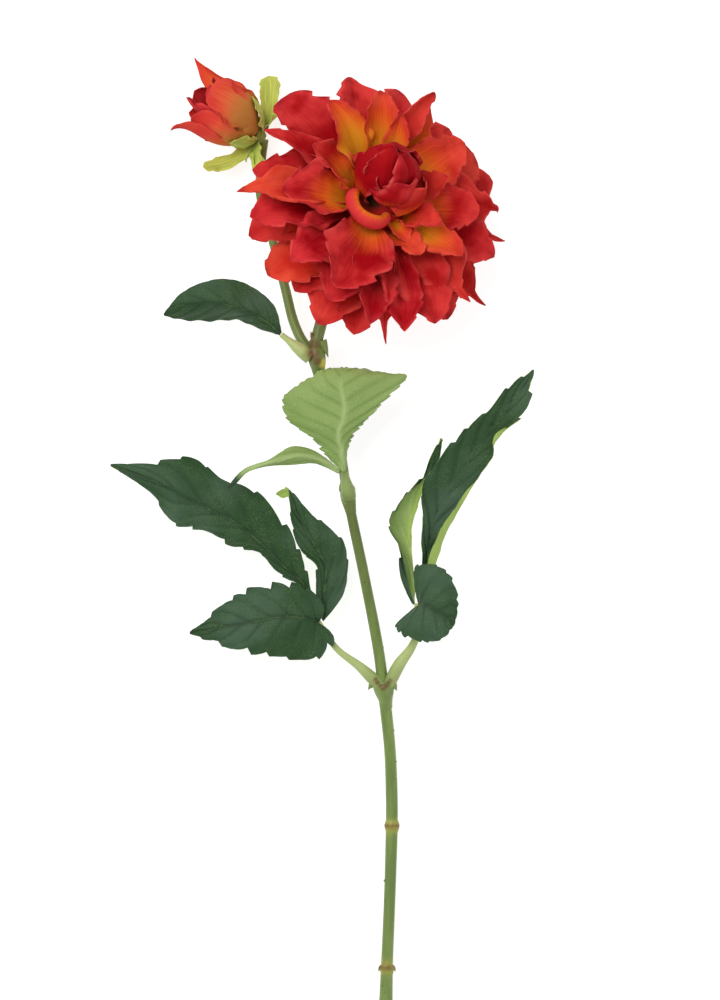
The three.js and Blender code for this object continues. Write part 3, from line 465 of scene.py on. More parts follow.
SEPAL_RING = Ring(
    "bud_sepals",
    Petal(
        root=(3.6, -2.8), lean=(62, 6), cup=(28, 26), width=11, root_width=0.5, widest=0.55, point=0.5, nip=0
    ),
    turned(
        ((44, 29), (), {"lean": (80, 54), "cup": (20, 5), "turn": 50, "widest": 0.85, "point": 0.2}),
        ((20, 14), (), {"lean": (98, 112), "cup": (20, 10)}),
        ((-123, 17), (), {"lean": (112, 152), "cup": (20, 10), "width": 12}),
        ((-163, 30), (), {"lean": (80, 28), "cup": (20, 5), "turn": -30, "widest": 0.8, "point": 0.3}),
        ((-112, 18), (), {"width": 12, "hook": 50}),
        ((-8, 22), (), {"width": 14}),
        ((113, 15), (), {"lean": (104, 112), "cup": (20, 10)}),
        ((165, 14), (), {"lean": (100, 110), "cup": (20, 10)}),
        ((-147, 17), (), {"lean": (104, 150), "cup": (20, 10), "width": 4}),
    ),
    (22, 14),
)

# Round bodies, as pairs of radius and height along a head's axis, and the looks of those inside the petals.
BLOOM_CORE = ((0.1, -3.5), (9, -3.5), (15, -1), (16, 3), (15, 9), (12, 16), (7, 22), (0.1, 25))
BLOOM_CUP = ((0.1, -11), (4, -11), (8, -8), (9.5, -3.8), (0.1, -3.8))
BUD_CORE = ((0.1, 0.5), (6.5, 0.8), (11.2, 7), (11.6, 14), (7, 21), (0.1, 24))
BUD_CUP = ((0.1, -5.5), (2.6, -5.5), (4.6, -2.5), (5.4, 0), (0.1, 0))
BLOOM_CORE_LOOK = Look(0.1, 0.0, 0.0, 0.3, 1.0)
BUD_CORE_LOOK = Look(0.5, 0.6, 0.0, 0.3)

# The petal that wraps round the foot of the heart, with its lip rolled out: its middle in the bloom's frame,
# the way it faces, how far it wraps to each side, its outline as pairs of radius and height, and its look.
COLLAR_CENTRE = (-8.0, -7.0, 17.0)
COLLAR_FACING = 238.0
COLLAR_WRAP = 105.0
COLLAR_OUTLINE = ((7, -8), (7.3, 0), (8.2, 6), (9.8, 9.6), (12, 10.4), (14, 8.4), (14.6, 5), (13.4, 2.2))
COLLAR_LOOK = Look(0.4, 0.62, 0.6, 0.3, 0.0, 0.9)
HEART_HOLLOW_PAINTED_SHADE = ((25.5, 166, 67), 8)  # painted shade in the hollow between the heart's petals: its middle, and its radius


@dataclass(frozen=True)
class Rod:
    """A round stalk along a smooth line, with its radius read along a list."""

    points: tuple[Point, ...]
    radii: tuple[float, ...]


MAIN_STEM = Rod(
    (
        (32.5, -239, 3.1), (33, -220.5, 3.2), (34.5, -183, 3.7), (35.5, -147.5, 4.4), (35.5, -133, 4.8),
        (34.5, -108, 5.6), (31.5, -80, 7.4), (29, -60, 9), (22, -23, 12), (13.5, 18, 17), (9.5, 42, 19.5),
        (3.5, 67, 22.5), (-3, 90, 25), (-0.5, 104, 25.5), (6, 125, 22.5), (13.5, 145, 21.5), (18, 153.5, 27),
        (21.4, 157.1, 35.3),
    ),
    (3.4, 3, 2.9, 2.9, 3, 3, 2.9, 3, 2.8, 2.7, 2.6, 2.6, 2.5, 2.5, 3, 3.2, 3.1, 3, 3, 3),
)
BUD_STALK = Rod(
    (
        (-3, 89, 25), (-9.5, 97, 22), (-14, 107, 19), (-18, 123, 15), (-24, 146, 12), (-31, 172, 10.5),
        (-30, 188, 11), (-28.7, 198.4, 13.4),
    ),
    (2.6, 2.5, 2.4, 2.3, 2.2, 2.1, 2.2),
)
JOINTS = (
    Rod(((33.1, -222.5, 3.3), (33.1, -217.5, 3.3)), (3, 3.2, 3.5, 3.9, 3.4, 3)),
    Rod(((35.6, -151.5, 4.4), (35.6, -143.5, 4.4)), (2.8, 3.2, 3.7, 3.8, 3.3, 2.8)),
    Rod(((33.1, -88, 7), (31, -74.5, 7.9)), (2.8, 3.1, 3.6, 4.4, 5, 5.2, 3.7)),
    Rod(((15, 10.5, 16.2), (12.2, 25.5, 18)), (2.7, 3.1, 3.6, 3.8, 3.4, 2.6)),
    Rod(((-0.9, 79.5, 24), (-3.2, 95.5, 25.3)), (2.5, 3.4, 4.2, 4.5, 4, 2.6)),
)

# Pointed tips of the sheaths at the joints, and small thorns beside them.
SPURS = (
    Rod(((0.5, 97, 26), (2.2, 92.5, 26), (3.6, 88.5, 26)), (2.4, 1.5, 0.2)),
    Rod(((-3.5, 97, 26.5), (-4.6, 99.5, 27.5), (-5.2, 101.5, 28.5)), (1.6, 1, 0.15)),
    Rod(((35, -74.5, 9.5), (36.8, -76.6, 9), (38, -79, 8.6)), (2.4, 1.6, 0.2)),
    Rod(((27, -74.5, 9.5), (25, -76.6, 9), (23.6, -78.6, 8.6)), (2.2, 1.5, 0.2)),
    Rod(((14, 23.6, 18.6), (15.6, 22.8, 19), (17.2, 20.6, 19)), (2.2, 1.4, 0.2)),
    Rod(((11, 25, 19), (9.9, 23.4, 19.2), (9.2, 21.2, 19.2)), (1.6, 1, 0.2)),
    Rod(((35.6, -218.4, 3.6), (36.6, -219.2, 3.5), (37.4, -220.9, 3.4)), (1.2, 0.8, 0.15)),
    Rod(((30.6, -218.4, 3.6), (29.6, -219.2, 3.5), (28.8, -220.9, 3.4)), (1.2, 0.8, 0.15)),
)

# Where the stem has a full brown ring, in Y. A smaller spot, brown or yellow, is a place and a radius.
RING_PLACES = (-218.8, -147.5)
BROWN_SPOTS = (
    ((-5.2, 99.5, 27), 3.4), ((-4.2, 95.0, 28.8), 4.2), ((-4.2, 90.0, 29.6), 4.4), ((-7.5, 90.5, 27.5), 3.4),
    ((-1.8, 86.5, 29.2), 3.2), ((27.2, -73.4, 11.4), 2.1), ((28.4, -74.9, 12.4), 2.1),
    ((29.7, -76.3, 13), 2.2), ((31.1, -77.6, 13.2), 2.2), ((32.4, -76.5, 13), 2.2),
    ((33.7, -75.1, 12.4), 2.1), ((35, -73.6, 11.4), 2.1), ((9.4, 22.0, 19.2), 1.3), ((17.2, 22.0, 19), 1.3),
)
YELLOW_SPOT = ((1.2, 85.5, 27), 3.6)

# How olive the stem is: places in Y, and the share at each.
OLIVE_STRETCH = ((-85, 10, 15, 16.5, 27, 60, 90), (0, 0.9, 0.9, 0.3, 0.3, 0.6, 0.5))
PETIOLES = {
    "top_petiole": Rod(((-5.5, 88.5, 26), (-12.5, 94, 27), (-20, 100, 27.5)), (3.6, 3.5, 2.8, 1.7, 1.4)),
    "front_petiole": Rod(((13.9, 18.5, 19), (12.8, 25, 23.5), (11.6, 31, 26.5)), (3.7, 3.7, 3, 2.2, 2)),
    "left_petiole": Rod(
        ((29.5, -76.5, 8.5), (19.5, -67, 11), (8, -58, 13), (-2, -44, 14.8)),
        (3.2, 3, 2.3, 1.8, 1.6, 1.6, 1.6),
    ),
    "right_petiole": Rod(
        ((33.5, -77, 8.5), (39.5, -65.5, 11.5), (45.5, -57, 14), (49, -48, 16), (48.4, -35, 17)),
        (3, 3.2, 3.1, 2.5, 2, 1.8, 1.7, 1.7),
    ),
}


@dataclass(frozen=True)
class Leaf:
    """A leaf or leaflet as a sheet through curves from root to tip, listed from one edge to the other.

    midrib is the share of the way across where the midrib runs, teeth the number of teeth along an edge, bite
    how far their notches go in, in millimetres, veins the pairs of side veins, ends the share of the length
    where the midrib ends, dark_tip the share of the length past which a leaf turns dark, and smooth the share
    of the length over which the teeth grow from nothing. Past pale_tip the top shows the underside's colour,
    where the tip has turned over. painted_light_across goes from edge to edge of the underside, from painted
    shade (-1) to painted highlight (1).
    """

    curves: tuple[tuple[Point, ...], ...]
    teeth: int = 0
    bite: float = 0.0
    midrib: float = 0.5
    veins: int = 7
    ends: float = 1.2
    dark_tip: float = 1.5
    smooth: float = 0.15
    pale_tip: float = 1.5
    painted_light_across: tuple[float, ...] = (0.0, 0.0)


LEAVES = {
    "top_leaf": Leaf(
        ((
            (-19.9, 101, 27.5), (-24, 115, 29), (-38, 125.5, 31), (-53, 127.5, 31), (-69, 121.5, 29),
            (-79, 110.5, 26),
        ), (
            (-20.3, 100.3, 27.5), (-30, 108, 29), (-42, 113.5, 31), (-55, 115.5, 32), (-68, 114, 30),
            (-79, 110, 26),
        ), (
            (-20.7, 99.6, 27.5), (-31, 103, 25), (-42, 107.5, 22), (-55, 107, 21), (-69, 107.5, 22),
            (-79, 109.5, 26),
        )),
    ),
    "front_leaf": Leaf(
        ((
            (10.6, 31.5, 26.8), (1.5, 40, 28), (-6, 49, 29), (-17, 57, 29), (-19.5, 68, 30), (-10, 76, 31),
            (0, 82, 31), (6, 82.5, 28), (13, 79, 26),
        ), (
            (11.5, 31.5, 26.8), (10, 42, 30), (8.5, 50, 33), (11, 58, 35), (11.5, 66, 36), (10, 74, 37),
            (11, 81, 36), (12, 83, 32), (13, 79, 26),
        ), (
            (12.4, 31.5, 26.8), (13.5, 42, 29), (17, 50, 31), (24, 58, 32), (33, 67.5, 33), (43.4, 78.9, 34),
            (31.5, 80.6, 33), (21, 82.5, 29), (13, 79, 26),
        )),
        teeth=22, bite=3, veins=9, ends=0.72,
    ),
    "front_side_leaflet": Leaf(
        ((
            (8.8, 30.6, 25.6), (-2, 35, 27), (-13, 34.8, 31), (-26, 34, 34), (-36, 31.5, 35),
            (-41.5, 26.5, 34), (-46, 23, 31),
        ), (
            (9.1, 31.1, 25.8), (-2, 38, 29), (-13, 39, 34), (-26, 35.7, 37), (-36.5, 32.3, 37),
            (-42, 27.6, 35), (-46, 23, 31),
        ), (
            (9.2, 31.7, 25.8), (-2, 41, 27), (-14, 44, 31), (-26, 37.2, 34), (-37, 33.2, 35),
            (-42.5, 28.8, 34), (-46, 23, 31),
        )),
        teeth=4, bite=0.6, veins=4, dark_tip=0.72,
    ),
    "left_leaflet_long": Leaf(
        ((
            (-1.8, -43.3, 14.9), (-5, -28.5, 17), (-9, -12, 20), (-18, 6, 23), (-32, 21.5, 24), (-50, 28, 21),
            (-64, 38.5, 25), (-82, 37, 22), (-106, 35, 18),
        ), (
            (-2.3, -43.6, 14.9), (-7, -28, 15), (-18, -17, 16), (-30, -5, 18), (-42, 5, 19), (-55, 12, 20),
            (-68, 18, 20), (-84, 26.5, 20), (-106, 34.5, 18),
        ), (
            (-2.9, -44, 14.9), (-8.5, -29.5, 14), (-22, -20, 14), (-31, -10, 15), (-45, -6.5, 18),
            (-60, 1.5, 14), (-74, 4.5, 18), (-87, 21, 17), (-106, 34, 18),
        )),
        teeth=10, bite=3.4, veins=8,
    ),
    "left_leaflet_middle": Leaf(
        ((
            (1, -44, 14.8), (11, -31, 14), (13.5, -17, 15), (11.5, -4, 17), (2, 5, 19), (-7, 13, 19),
            (-16, 22.8, 18), (-19.2, 22.8, 17.5), (-22.7, 20.5, 16),
        ), (
            (0.6, -43.4, 14.9), (1.5, -32, 16), (2.5, -17, 19), (-2, -7.5, 20), (-8, 2.5, 19), (-13, 12, 18),
            (-16, 20.4, 18.6), (-19.2, 20.4, 18), (-22.7, 20.2, 16),
        ), (
            (0.2, -42.8, 14.9), (-3, -30, 17), (-3.2, -16, 18), (-10.5, -8.5, 18), (-14, 0.5, 17),
            (-15.5, 9, 17), (-16, 17.2, 18), (-19.2, 17.6, 17.5), (-22.7, 19.9, 16),
        )),
        teeth=7, bite=2.2, pale_tip=0.75,
    ),
    "left_leaflet_low": Leaf(
        ((
            (-0.6, -43.8, 17.4), (1.5, -35, 20.5), (-9.5, -25.5, 23), (-22, -24, 22.5), (-33, -25.5, 22),
            (-44, -31, 20), (-55, -39.5, 17), (-66.3, -49.5, 13),
        ), (
            (-1, -44.5, 17.4), (-4, -43.6, 19), (-12, -42, 21), (-22, -42, 22), (-33, -44, 22),
            (-44, -46, 20), (-55, -48, 17), (-66.3, -50, 13),
        ), (
            (-0.7, -45.3, 17.4), (7.5, -53, 17), (-1, -63, 17), (-14, -63.5, 19), (-27, -61.5, 20),
            (-40, -60, 18), (-52, -56, 16), (-66.3, -50.5, 13),
        )),
        teeth=8, bite=5.5,
    ),
    "right_leaflet_long": Leaf(
        ((
            (49.7, -34.4, 17.5), (53.5, -14.5, 23), (58.3, -1, 26), (66, 12, 29), (76.5, 26, 30),
            (86, 38.5, 31), (86.5, 50, 34), (99.5, 57, 31), (105.5, 68, 28), (106.7, 82, 24),
        ), (
            (49.4, -34.4, 17.3), (57.4, -15, 20), (61.5, -2, 22), (68, 11, 25), (75, 24, 28), (81, 36, 29),
            (88.5, 48, 31), (96, 57, 30), (102, 69, 27), (106.9, 82, 24),
        ), (
            (48.9, -34.4, 17.1), (53.5, -14.5, 18), (55, -2, 20), (58.5, 10, 22), (64, 23, 25),
            (73.5, 37, 27), (82, 49, 28), (91, 60, 28), (98.5, 70.5, 26), (106.6, 82.3, 24),
        ), (
            (48.3, -34.4, 17), (50.7, -14.5, 19), (50.3, -3, 22), (51, 9, 25), (50.5, 24, 28), (60, 39.5, 29),
            (71, 52, 29), (83.5, 62.5, 29), (94, 74.5, 27), (106.4, 82.6, 24),
        )),
        teeth=11, bite=3.2, midrib=0.66, veins=8, ends=0.3, smooth=0.6, painted_light_across=(0.8, 0.8),
    ),
    "right_leaflet_inner": Leaf(
        ((
            (46.3, -35, 17.3), (43, -23, 21), (40.5, -10, 24), (34.3, 2, 25), (34.8, 9.5, 26), (41, 18.5, 26),
            (50.5, 27, 24), (59, 37, 22), (60.2, 47.8, 20),
        ), (
            (46.2, -35.2, 17), (46, -23.5, 18), (45, -12, 20), (44.2, 0, 21), (46, 9.5, 22), (49, 18.5, 22),
            (52.5, 27.5, 22), (57.7, 36, 21), (60.3, 47.9, 20),
        ), (
            (46.1, -35.5, 16.7), (43, -22.5, 15), (42, -11, 16), (41.5, 1, 17), (43, 10, 18), (46, 19, 19),
            (51, 27, 20), (56, 36, 20), (60.1, 48, 20),
        ), (
            (46, -35.8, 16.4), (39.5, -22, 16), (39, -10, 17), (38, 2, 18), (38, 10, 19), (42, 20, 20),
            (49, 27, 21), (53.5, 36.5, 21), (60, 48.1, 20),
        )),
        teeth=7, bite=1.8, midrib=0.34, veins=5, painted_light_across=(-1.0, -0.3, 1.0, 0.8, 0.5, 0.5, 0.5),
    ),
    "right_leaflet_low": Leaf(
        ((
            (47.8, -36.2, 19.6), (37.5, -46, 22), (42, -52, 25), (52, -54.5, 29), (61, -52.5, 33),
            (66.3, -46, 35),
        ), (
            (48.4, -35.7, 19.6), (50.5, -35, 26), (55, -37, 31), (60.5, -40, 34), (64, -43, 35.5),
            (66.7, -45.5, 35),
        ), (
            (48.8, -35, 19.7), (46.5, -17, 24), (58, -15.5, 28), (66, -22.5, 33), (68.7, -34, 36),
            (67, -45, 35),
        )),
        teeth=9, bite=3.0, veins=5,
    ),
}


def head_axes(tilt: float, heading: float) -> np.ndarray:
    """The axes of a head.

    Args:
        tilt: how far its axis leans from upright, in degrees.
        heading: which way it leans, in degrees from X.

    Returns:
        Sideways, upwards and the axis, one in each column of a 3 by 3 array.
    """
    t, h = math.radians(tilt), math.radians(heading)
    axis = np.array([math.sin(t) * math.cos(h), math.sin(t) * math.sin(h), math.cos(t)])
    sideways = np.array([1.0, 0.0, 0.0]) - axis[0] * axis
    sideways /= np.linalg.norm(sideways)
    return np.stack([sideways, np.cross(axis, sideways), axis], axis=1)


def smooth_curve(points: Sequence, share: np.ndarray) -> np.ndarray:
    """Reads a smooth curve through evenly spaced points, along the first axis.

    Args:
        points: the points or numbers, the first axis being their order.
        share: shares of the way along, from 0 to 1.

    Returns:
        The points at those shares.
    """
    points = np.asarray(points, dtype=float)
    last = len(points) - 1
    place = np.clip(share, 0, 1) * last
    i = np.minimum(place.astype(int), last - 1)
    f = (place - i).reshape((-1,) + (1,) * (points.ndim - 1))
    a, b, c, d = (points[np.clip(i + k, 0, last)] for k in (-1, 0, 1, 2))
    weights = (-0.5 * f + f**2 - 0.5 * f**3, 1 - 2.5 * f**2 + 1.5 * f**3, 0.5 * f + 2 * f**2 - 1.5 * f**3)
    return weights[0] * a + weights[1] * b + weights[2] * c + (-0.5 * f**2 + 0.5 * f**3) * d


def between(ends: Sequence, knots: Sequence, at: np.ndarray) -> np.ndarray:
    """Points between two others, for a parameter that goes from one knot to the other."""
    share = (at - knots[0]) / (knots[1] - knots[0])
    return (1 - share) * ends[0] + share * ends[1]


def spline_through(controls: Sequence, steps: int) -> np.ndarray:
    """Evenly spaced points on a centripetal curve through control points.

    Args:
        controls: the points that the curve passes through.
        steps: the number of points wanted.

    Returns:
        The points, in order.
    """
    controls = np.asarray(controls, dtype=float)
    ends = np.vstack([2 * controls[0] - controls[1], controls, 2 * controls[-1] - controls[-2]])
    dense = []
    for i in range(len(controls) - 1):
        p = ends[i : i + 4]
        t = np.r_[0, np.cumsum(np.sqrt(np.maximum(np.linalg.norm(np.diff(p, axis=0), axis=1), 1e-6)))]
        at = np.linspace(t[1], t[2], SPAN_STEPS, endpoint=i == len(controls) - 2)[:, None]
        for span in (1, 2):
            p = [between(p[k : k + 2], (t[k], t[k + span]), at) for k in range(4 - span)]
        dense.append(between(p, t[1:3], at))
    line = np.vstack(dense)
    walked = np.r_[0, np.cumsum(np.linalg.norm(np.diff(line, axis=0), axis=1))]
    at = np.linspace(0, walked[-1], steps)
    return np.stack([np.interp(at, walked, line[:, k]) for k in range(3)], axis=1)


def grid_normals(grid: np.ndarray) -> np.ndarray:
    """The directions square to a grid of points.

    Args:
        grid: the points, by row and column.

    Returns:
        A direction of length 1 for each point.
    """
    padded = np.pad(grid, ((1, 1), (1, 1), (0, 0)), mode="edge")
    lengthwise = padded[2:, 1:-1] - padded[:-2, 1:-1]
    crosswise = padded[1:-1, 2:] - padded[1:-1, :-2]
    normal = np.cross(lengthwise, crosswise)
    return normal / np.maximum(np.linalg.norm(normal, axis=2, keepdims=True), 1e-9)


def linked(name: str, data: bpy.types.ID) -> bpy.types.Object:
    """Makes an object and links it to the scene.

    Args:
        name: its name.
        data: its mesh, light or camera.

    Returns:
        The object.
    """
    thing = bpy.data.objects.new(name, data)
    bpy.context.scene.collection.objects.link(thing)
    return thing


@dataclass
class Weave:
    """The points, faces and surface values of one piece, gathered part by part."""

    points: list = field(default_factory=list)
    faces: list = field(default_factory=list)
    slots: list = field(default_factory=list)
    uvs: list = field(default_factory=list)
    values: dict = field(default_factory=dict)
    count: int = 0

    def add(self, points: np.ndarray, faces: list, uvs: np.ndarray, values: dict, slots: list) -> None:
        """Adds one closed part.

        Args:
            points: its points in millimetres.
            faces: its faces, as indices into those points.
            uvs: a surface coordinate for each point.
            values: a number or an array of numbers a point, for each surface value.
            slots: a material slot for each face.
        """
        self.points.append(points)
        self.faces.extend([[index + self.count for index in face] for face in faces])
        self.slots.extend(slots)
        self.uvs.append(uvs)
        for key, value in values.items():
            self.values.setdefault(key, []).append(np.broadcast_to(value, (len(points),)))
        self.count += len(points)

    def add_blade(self, grid: np.ndarray, thickness: float, values: dict, backs: int = 0) -> None:
        """Adds a closed blade of even thickness round a grid of points.

        Args:
            grid: rows from root to tip and columns from edge to edge.
            thickness: its thickness in millimetres.
            values: the surface values of the whole blade.
            backs: the material slot of its back.
        """
        rows, columns = grid.shape[:2]
        count = rows * columns
        offset = grid_normals(grid) * thickness / 2
        points = np.concatenate([(grid + offset).reshape(-1, 3), (grid - offset).reshape(-1, 3)])
        along, across = np.meshgrid(np.linspace(0, 1, rows), np.linspace(0, 1, columns), indexing="ij")
        uvs = np.tile(np.stack([across.ravel(), along.ravel()], axis=1), (2, 1))
        front = np.arange(count).reshape(rows, columns)
        corners = [front[:-1, :-1], front[1:, :-1], front[1:, 1:], front[:-1, 1:]]
        fronts = np.stack(corners, axis=2).reshape(-1, 4)
        rims = []
        for rim, order in ((front[:, 0], 1), (front[:, -1], -1), (front[0], -1), (front[-1], 1)):
            quads = np.stack([rim[:-1], rim[:-1] + count, rim[1:] + count, rim[1:]], axis=1)
            rims.extend((quads if order > 0 else quads[:, [0, 3, 2, 1]]).tolist())
        faces = fronts.tolist() + (count + fronts[:, ::-1]).tolist() + rims
        slots = [0] * len(fronts) + [backs] * len(fronts) + [0] * len(rims)
        inner = np.repeat([1.0, 0.0], count)
        self.add(points, faces, uvs, {**values, "inner": inner}, slots)

    def add_tube(self, line: np.ndarray, radii: np.ndarray, values: dict) -> None:
        """Adds a closed round tube.

        Args:
            line: the points of its middle line.
            radii: the radius at each of them.
            values: the surface values of the whole tube, or of each step along it.
        """
        steps, sides = len(line), ROD_SIDES
        tangents = np.gradient(line, axis=0)
        tangents /= np.linalg.norm(tangents, axis=1, keepdims=True)
        spoke = np.cross(tangents[0], [0.0, 0.0, 1.0] if abs(tangents[0][2]) < 0.9 else [1.0, 0.0, 0.0])
        angles = 2 * np.pi * np.arange(sides) / sides
        rings = []
        for i in range(steps):
            spoke = spoke - tangents[i] * np.dot(spoke, tangents[i])
            spoke /= np.linalg.norm(spoke)
            other = np.cross(tangents[i], spoke)
            circle = np.outer(np.cos(angles), spoke) + np.outer(np.sin(angles), other)
            rings.append(line[i] + radii[i] * circle)
        points = np.concatenate(rings + [line[:1], line[-1:]])
        along = np.repeat(np.linspace(0, 1, steps), sides)
        around = np.tile(np.arange(sides) / sides, steps)
        uvs = np.concatenate([np.stack([around, along], axis=1), [[0.5, 0.0], [0.5, 1.0]]])
        faces = []
        for k in range(sides):
            after = (k + 1) % sides
            for i in range(steps - 1):
                a, b = i * sides + k, i * sides + after
                faces.append([a, b, b + sides, a + sides])
            faces.append([steps * sides, after, k])
            faces.append([steps * sides + 1, (steps - 1) * sides + k, (steps - 1) * sides + after])
        spread = {}
        for key, value in values.items():
            value = np.broadcast_to(value, (steps,))
            spread[key] = np.concatenate([np.repeat(value, sides), value[:1], value[-1:]])
        self.add(points, faces, uvs, spread, [0] * len(faces))

    def add_turned(self, outline: tuple, sides: int, axes: np.ndarray, centre: Point, values: dict) -> None:
        """Adds a round body in a head's frame.

        Args:
            outline: its pairs of radius and height.
            sides: its number of sides.
            axes: the head's axes.
            centre: where the head sits.
            values: the surface values of the whole body.
        """
        angles = 2 * np.pi * np.arange(sides) / sides
        circle = np.stack([np.cos(angles), np.sin(angles), 0 * angles], axis=1)
        rings = [radius * circle + np.array([0.0, 0.0, height]) for radius, height in outline]
        points = np.concatenate(rings) @ axes.T + np.array(centre)
        steps = len(outline)
        faces = [list(range(sides))[::-1], [(steps - 1) * sides + k for k in range(sides)]]
        for i in range(steps - 1):
            for k in range(sides):
                after = (k + 1) % sides
                faces.append([i * sides + k, i * sides + after, (i + 1) * sides + after, (i + 1) * sides + k])
        near_root = np.full((len(points), 2), 0.05)
        self.add(points, faces, near_root, {**values, "inner": 0.0}, [0] * len(faces))

    def build(self, name: str, materials: list) -> bpy.types.Object:
        """Makes the mesh object, with nothing below the table's surface.

        Args:
            name: the piece's name.
            materials: its materials, in the order of the slots.

        Returns:
            The new object, linked to the scene.
        """
        points = np.concatenate(self.points)
        points[:, 2] = np.maximum(points[:, 2], TABLE_GAP)
        mesh = bpy.data.meshes.new(name)
        mesh.from_pydata((points * MM).tolist(), [], self.faces)
        corners = np.concatenate([np.array(face) for face in self.faces])
        layer = mesh.uv_layers.new(name="surface")
        layer.data.foreach_set("uv", np.concatenate(self.uvs)[corners].astype(np.float32).ravel())
        for key, parts in self.values.items():
            attribute = mesh.attributes.new(key, "FLOAT", "POINT")
            attribute.data.foreach_set("value", np.concatenate(parts).astype(np.float32))
        for material in materials:
            mesh.materials.append(material)
        mesh.polygons.foreach_set("material_index", self.slots)
        mesh.polygons.foreach_set("use_smooth", [True] * len(mesh.polygons))
        mesh.set_sharp_from_angle(angle=CREASE)
        mesh.update()
        LOG.info("%s: %d faces", name, len(mesh.polygons))
        return linked(name, mesh)


@dataclass(frozen=True)
class Finish:
    """The constant part of a surface's look."""

    roughness: float
    specular: float
    bump: float
    subsurface: float = 0.0


PETAL_FINISH = Finish(0.7, specular=0.06, bump=0.25, subsurface=0.05)
LEAF_FINISH = Finish(0.5, specular=0.2, bump=0.35)
SEPAL_FINISH = Finish(0.6, specular=0.3, bump=0.2, subsurface=0.1)
STEM_FINISH = Finish(0.42, specular=0.4, bump=0.15, subsurface=0.08)
FLOOR_FINISH = Finish(0.9, specular=0.1, bump=0.0)
FLOOR_GREY = (0.45, 0.45, 0.45)
FLOOR_GLOW = 0.78
WHITE = (1.0, 1.0, 1.0)


@dataclass(frozen=True)
class LeafDyes:
    """The colours of one side of a leaf: plain, mottled (a painted grey-blue sheen on the top), its light
    threads, its veins (painted shade in the grooves on the underside) and its midrib.
    """

    plain: Colour
    mottle_and_leaf_sheen: Colour
    thread: Colour
    vein_and_groove_shade: Colour
    midrib: Colour


# On the top the mottle colour is a painted grey-blue sheen; on the underside it is a darker green.
LEAF_TOP = LeafDyes(srgb(42, 74, 40), srgb(72, 98, 76), srgb(98, 126, 66), srgb(30, 54, 36), srgb(30, 54, 36))
# The underside's vein colour is painted shade in the grooves beside the raised veins.
LEAF_UNDERSIDE = LeafDyes(
    srgb(148, 174, 100), srgb(130, 158, 84), srgb(172, 194, 126), srgb(104, 134, 66), srgb(172, 194, 126)
)


class Number:
    """A number in a node tree, which takes part in plain arithmetic."""

    def __init__(self, socket: Socket) -> None:
        """Keeps the socket that the number comes from."""
        self.socket = socket

    def math(self, operation: str, first: "Value", second: "Value" = 0.0) -> "Number":
        """One arithmetic step on one or two numbers."""
        tree = self.socket.id_data
        return Number(add_node(tree, "ShaderNodeMath", {0: first, 1: second}, operation=operation).outputs[0])

    def __add__(self, other: "Value") -> "Number":
        """The sum."""
        return self.math("ADD", self, other)

    def __sub__(self, other: "Value") -> "Number":
        """The difference."""
        return self.math("SUBTRACT", self, other)

    def __rsub__(self, other: float) -> "Number":
        """A constant less this number."""
        return self.math("SUBTRACT", other, self)

    def __mul__(self, other: "Value") -> "Number":
        """The product."""
        return self.math("MULTIPLY", self, other)

    def __pow__(self, power: float) -> "Number":
        """The power."""
        return self.math("POWER", self, power)

    def __abs__(self) -> "Number":
        """The size without the sign."""
        return self.math("ABSOLUTE", self)

    def most(self, other: "Number") -> "Number":
        """The larger of the two."""
        return self.math("MAXIMUM", self, other)


Value = Union[Number, Socket, Colour, Material, float]


def feed(node: bpy.types.Node, inputs: dict) -> None:
    """Sets a node's inputs.

    Args:
        node: the node.
        inputs: a constant or a source for each input, by its name or number.
    """
    for key, value in inputs.items():
        socket = node.inputs[key]
        value = value.socket if isinstance(value, Number) else value
        if isinstance(value, Socket):
            node.id_data.links.new(value, socket)
        else:
            socket.default_value = (*value, 1.0) if socket.type == "RGBA" else value


def add_node(tree: bpy.types.NodeTree, kind: str, inputs: dict, **settings: object) -> bpy.types.Node:
    """Adds a node to a tree.

    Args:
        tree: the tree.
        kind: the node's type.
        inputs: a constant or a source for each input that is set, by its name or number.
        settings: the node's properties.

    Returns:
        The node.
    """
    node = tree.nodes.new(kind)
    for key, value in settings.items():
        setattr(node, key, value)
    feed(node, inputs)
    return node


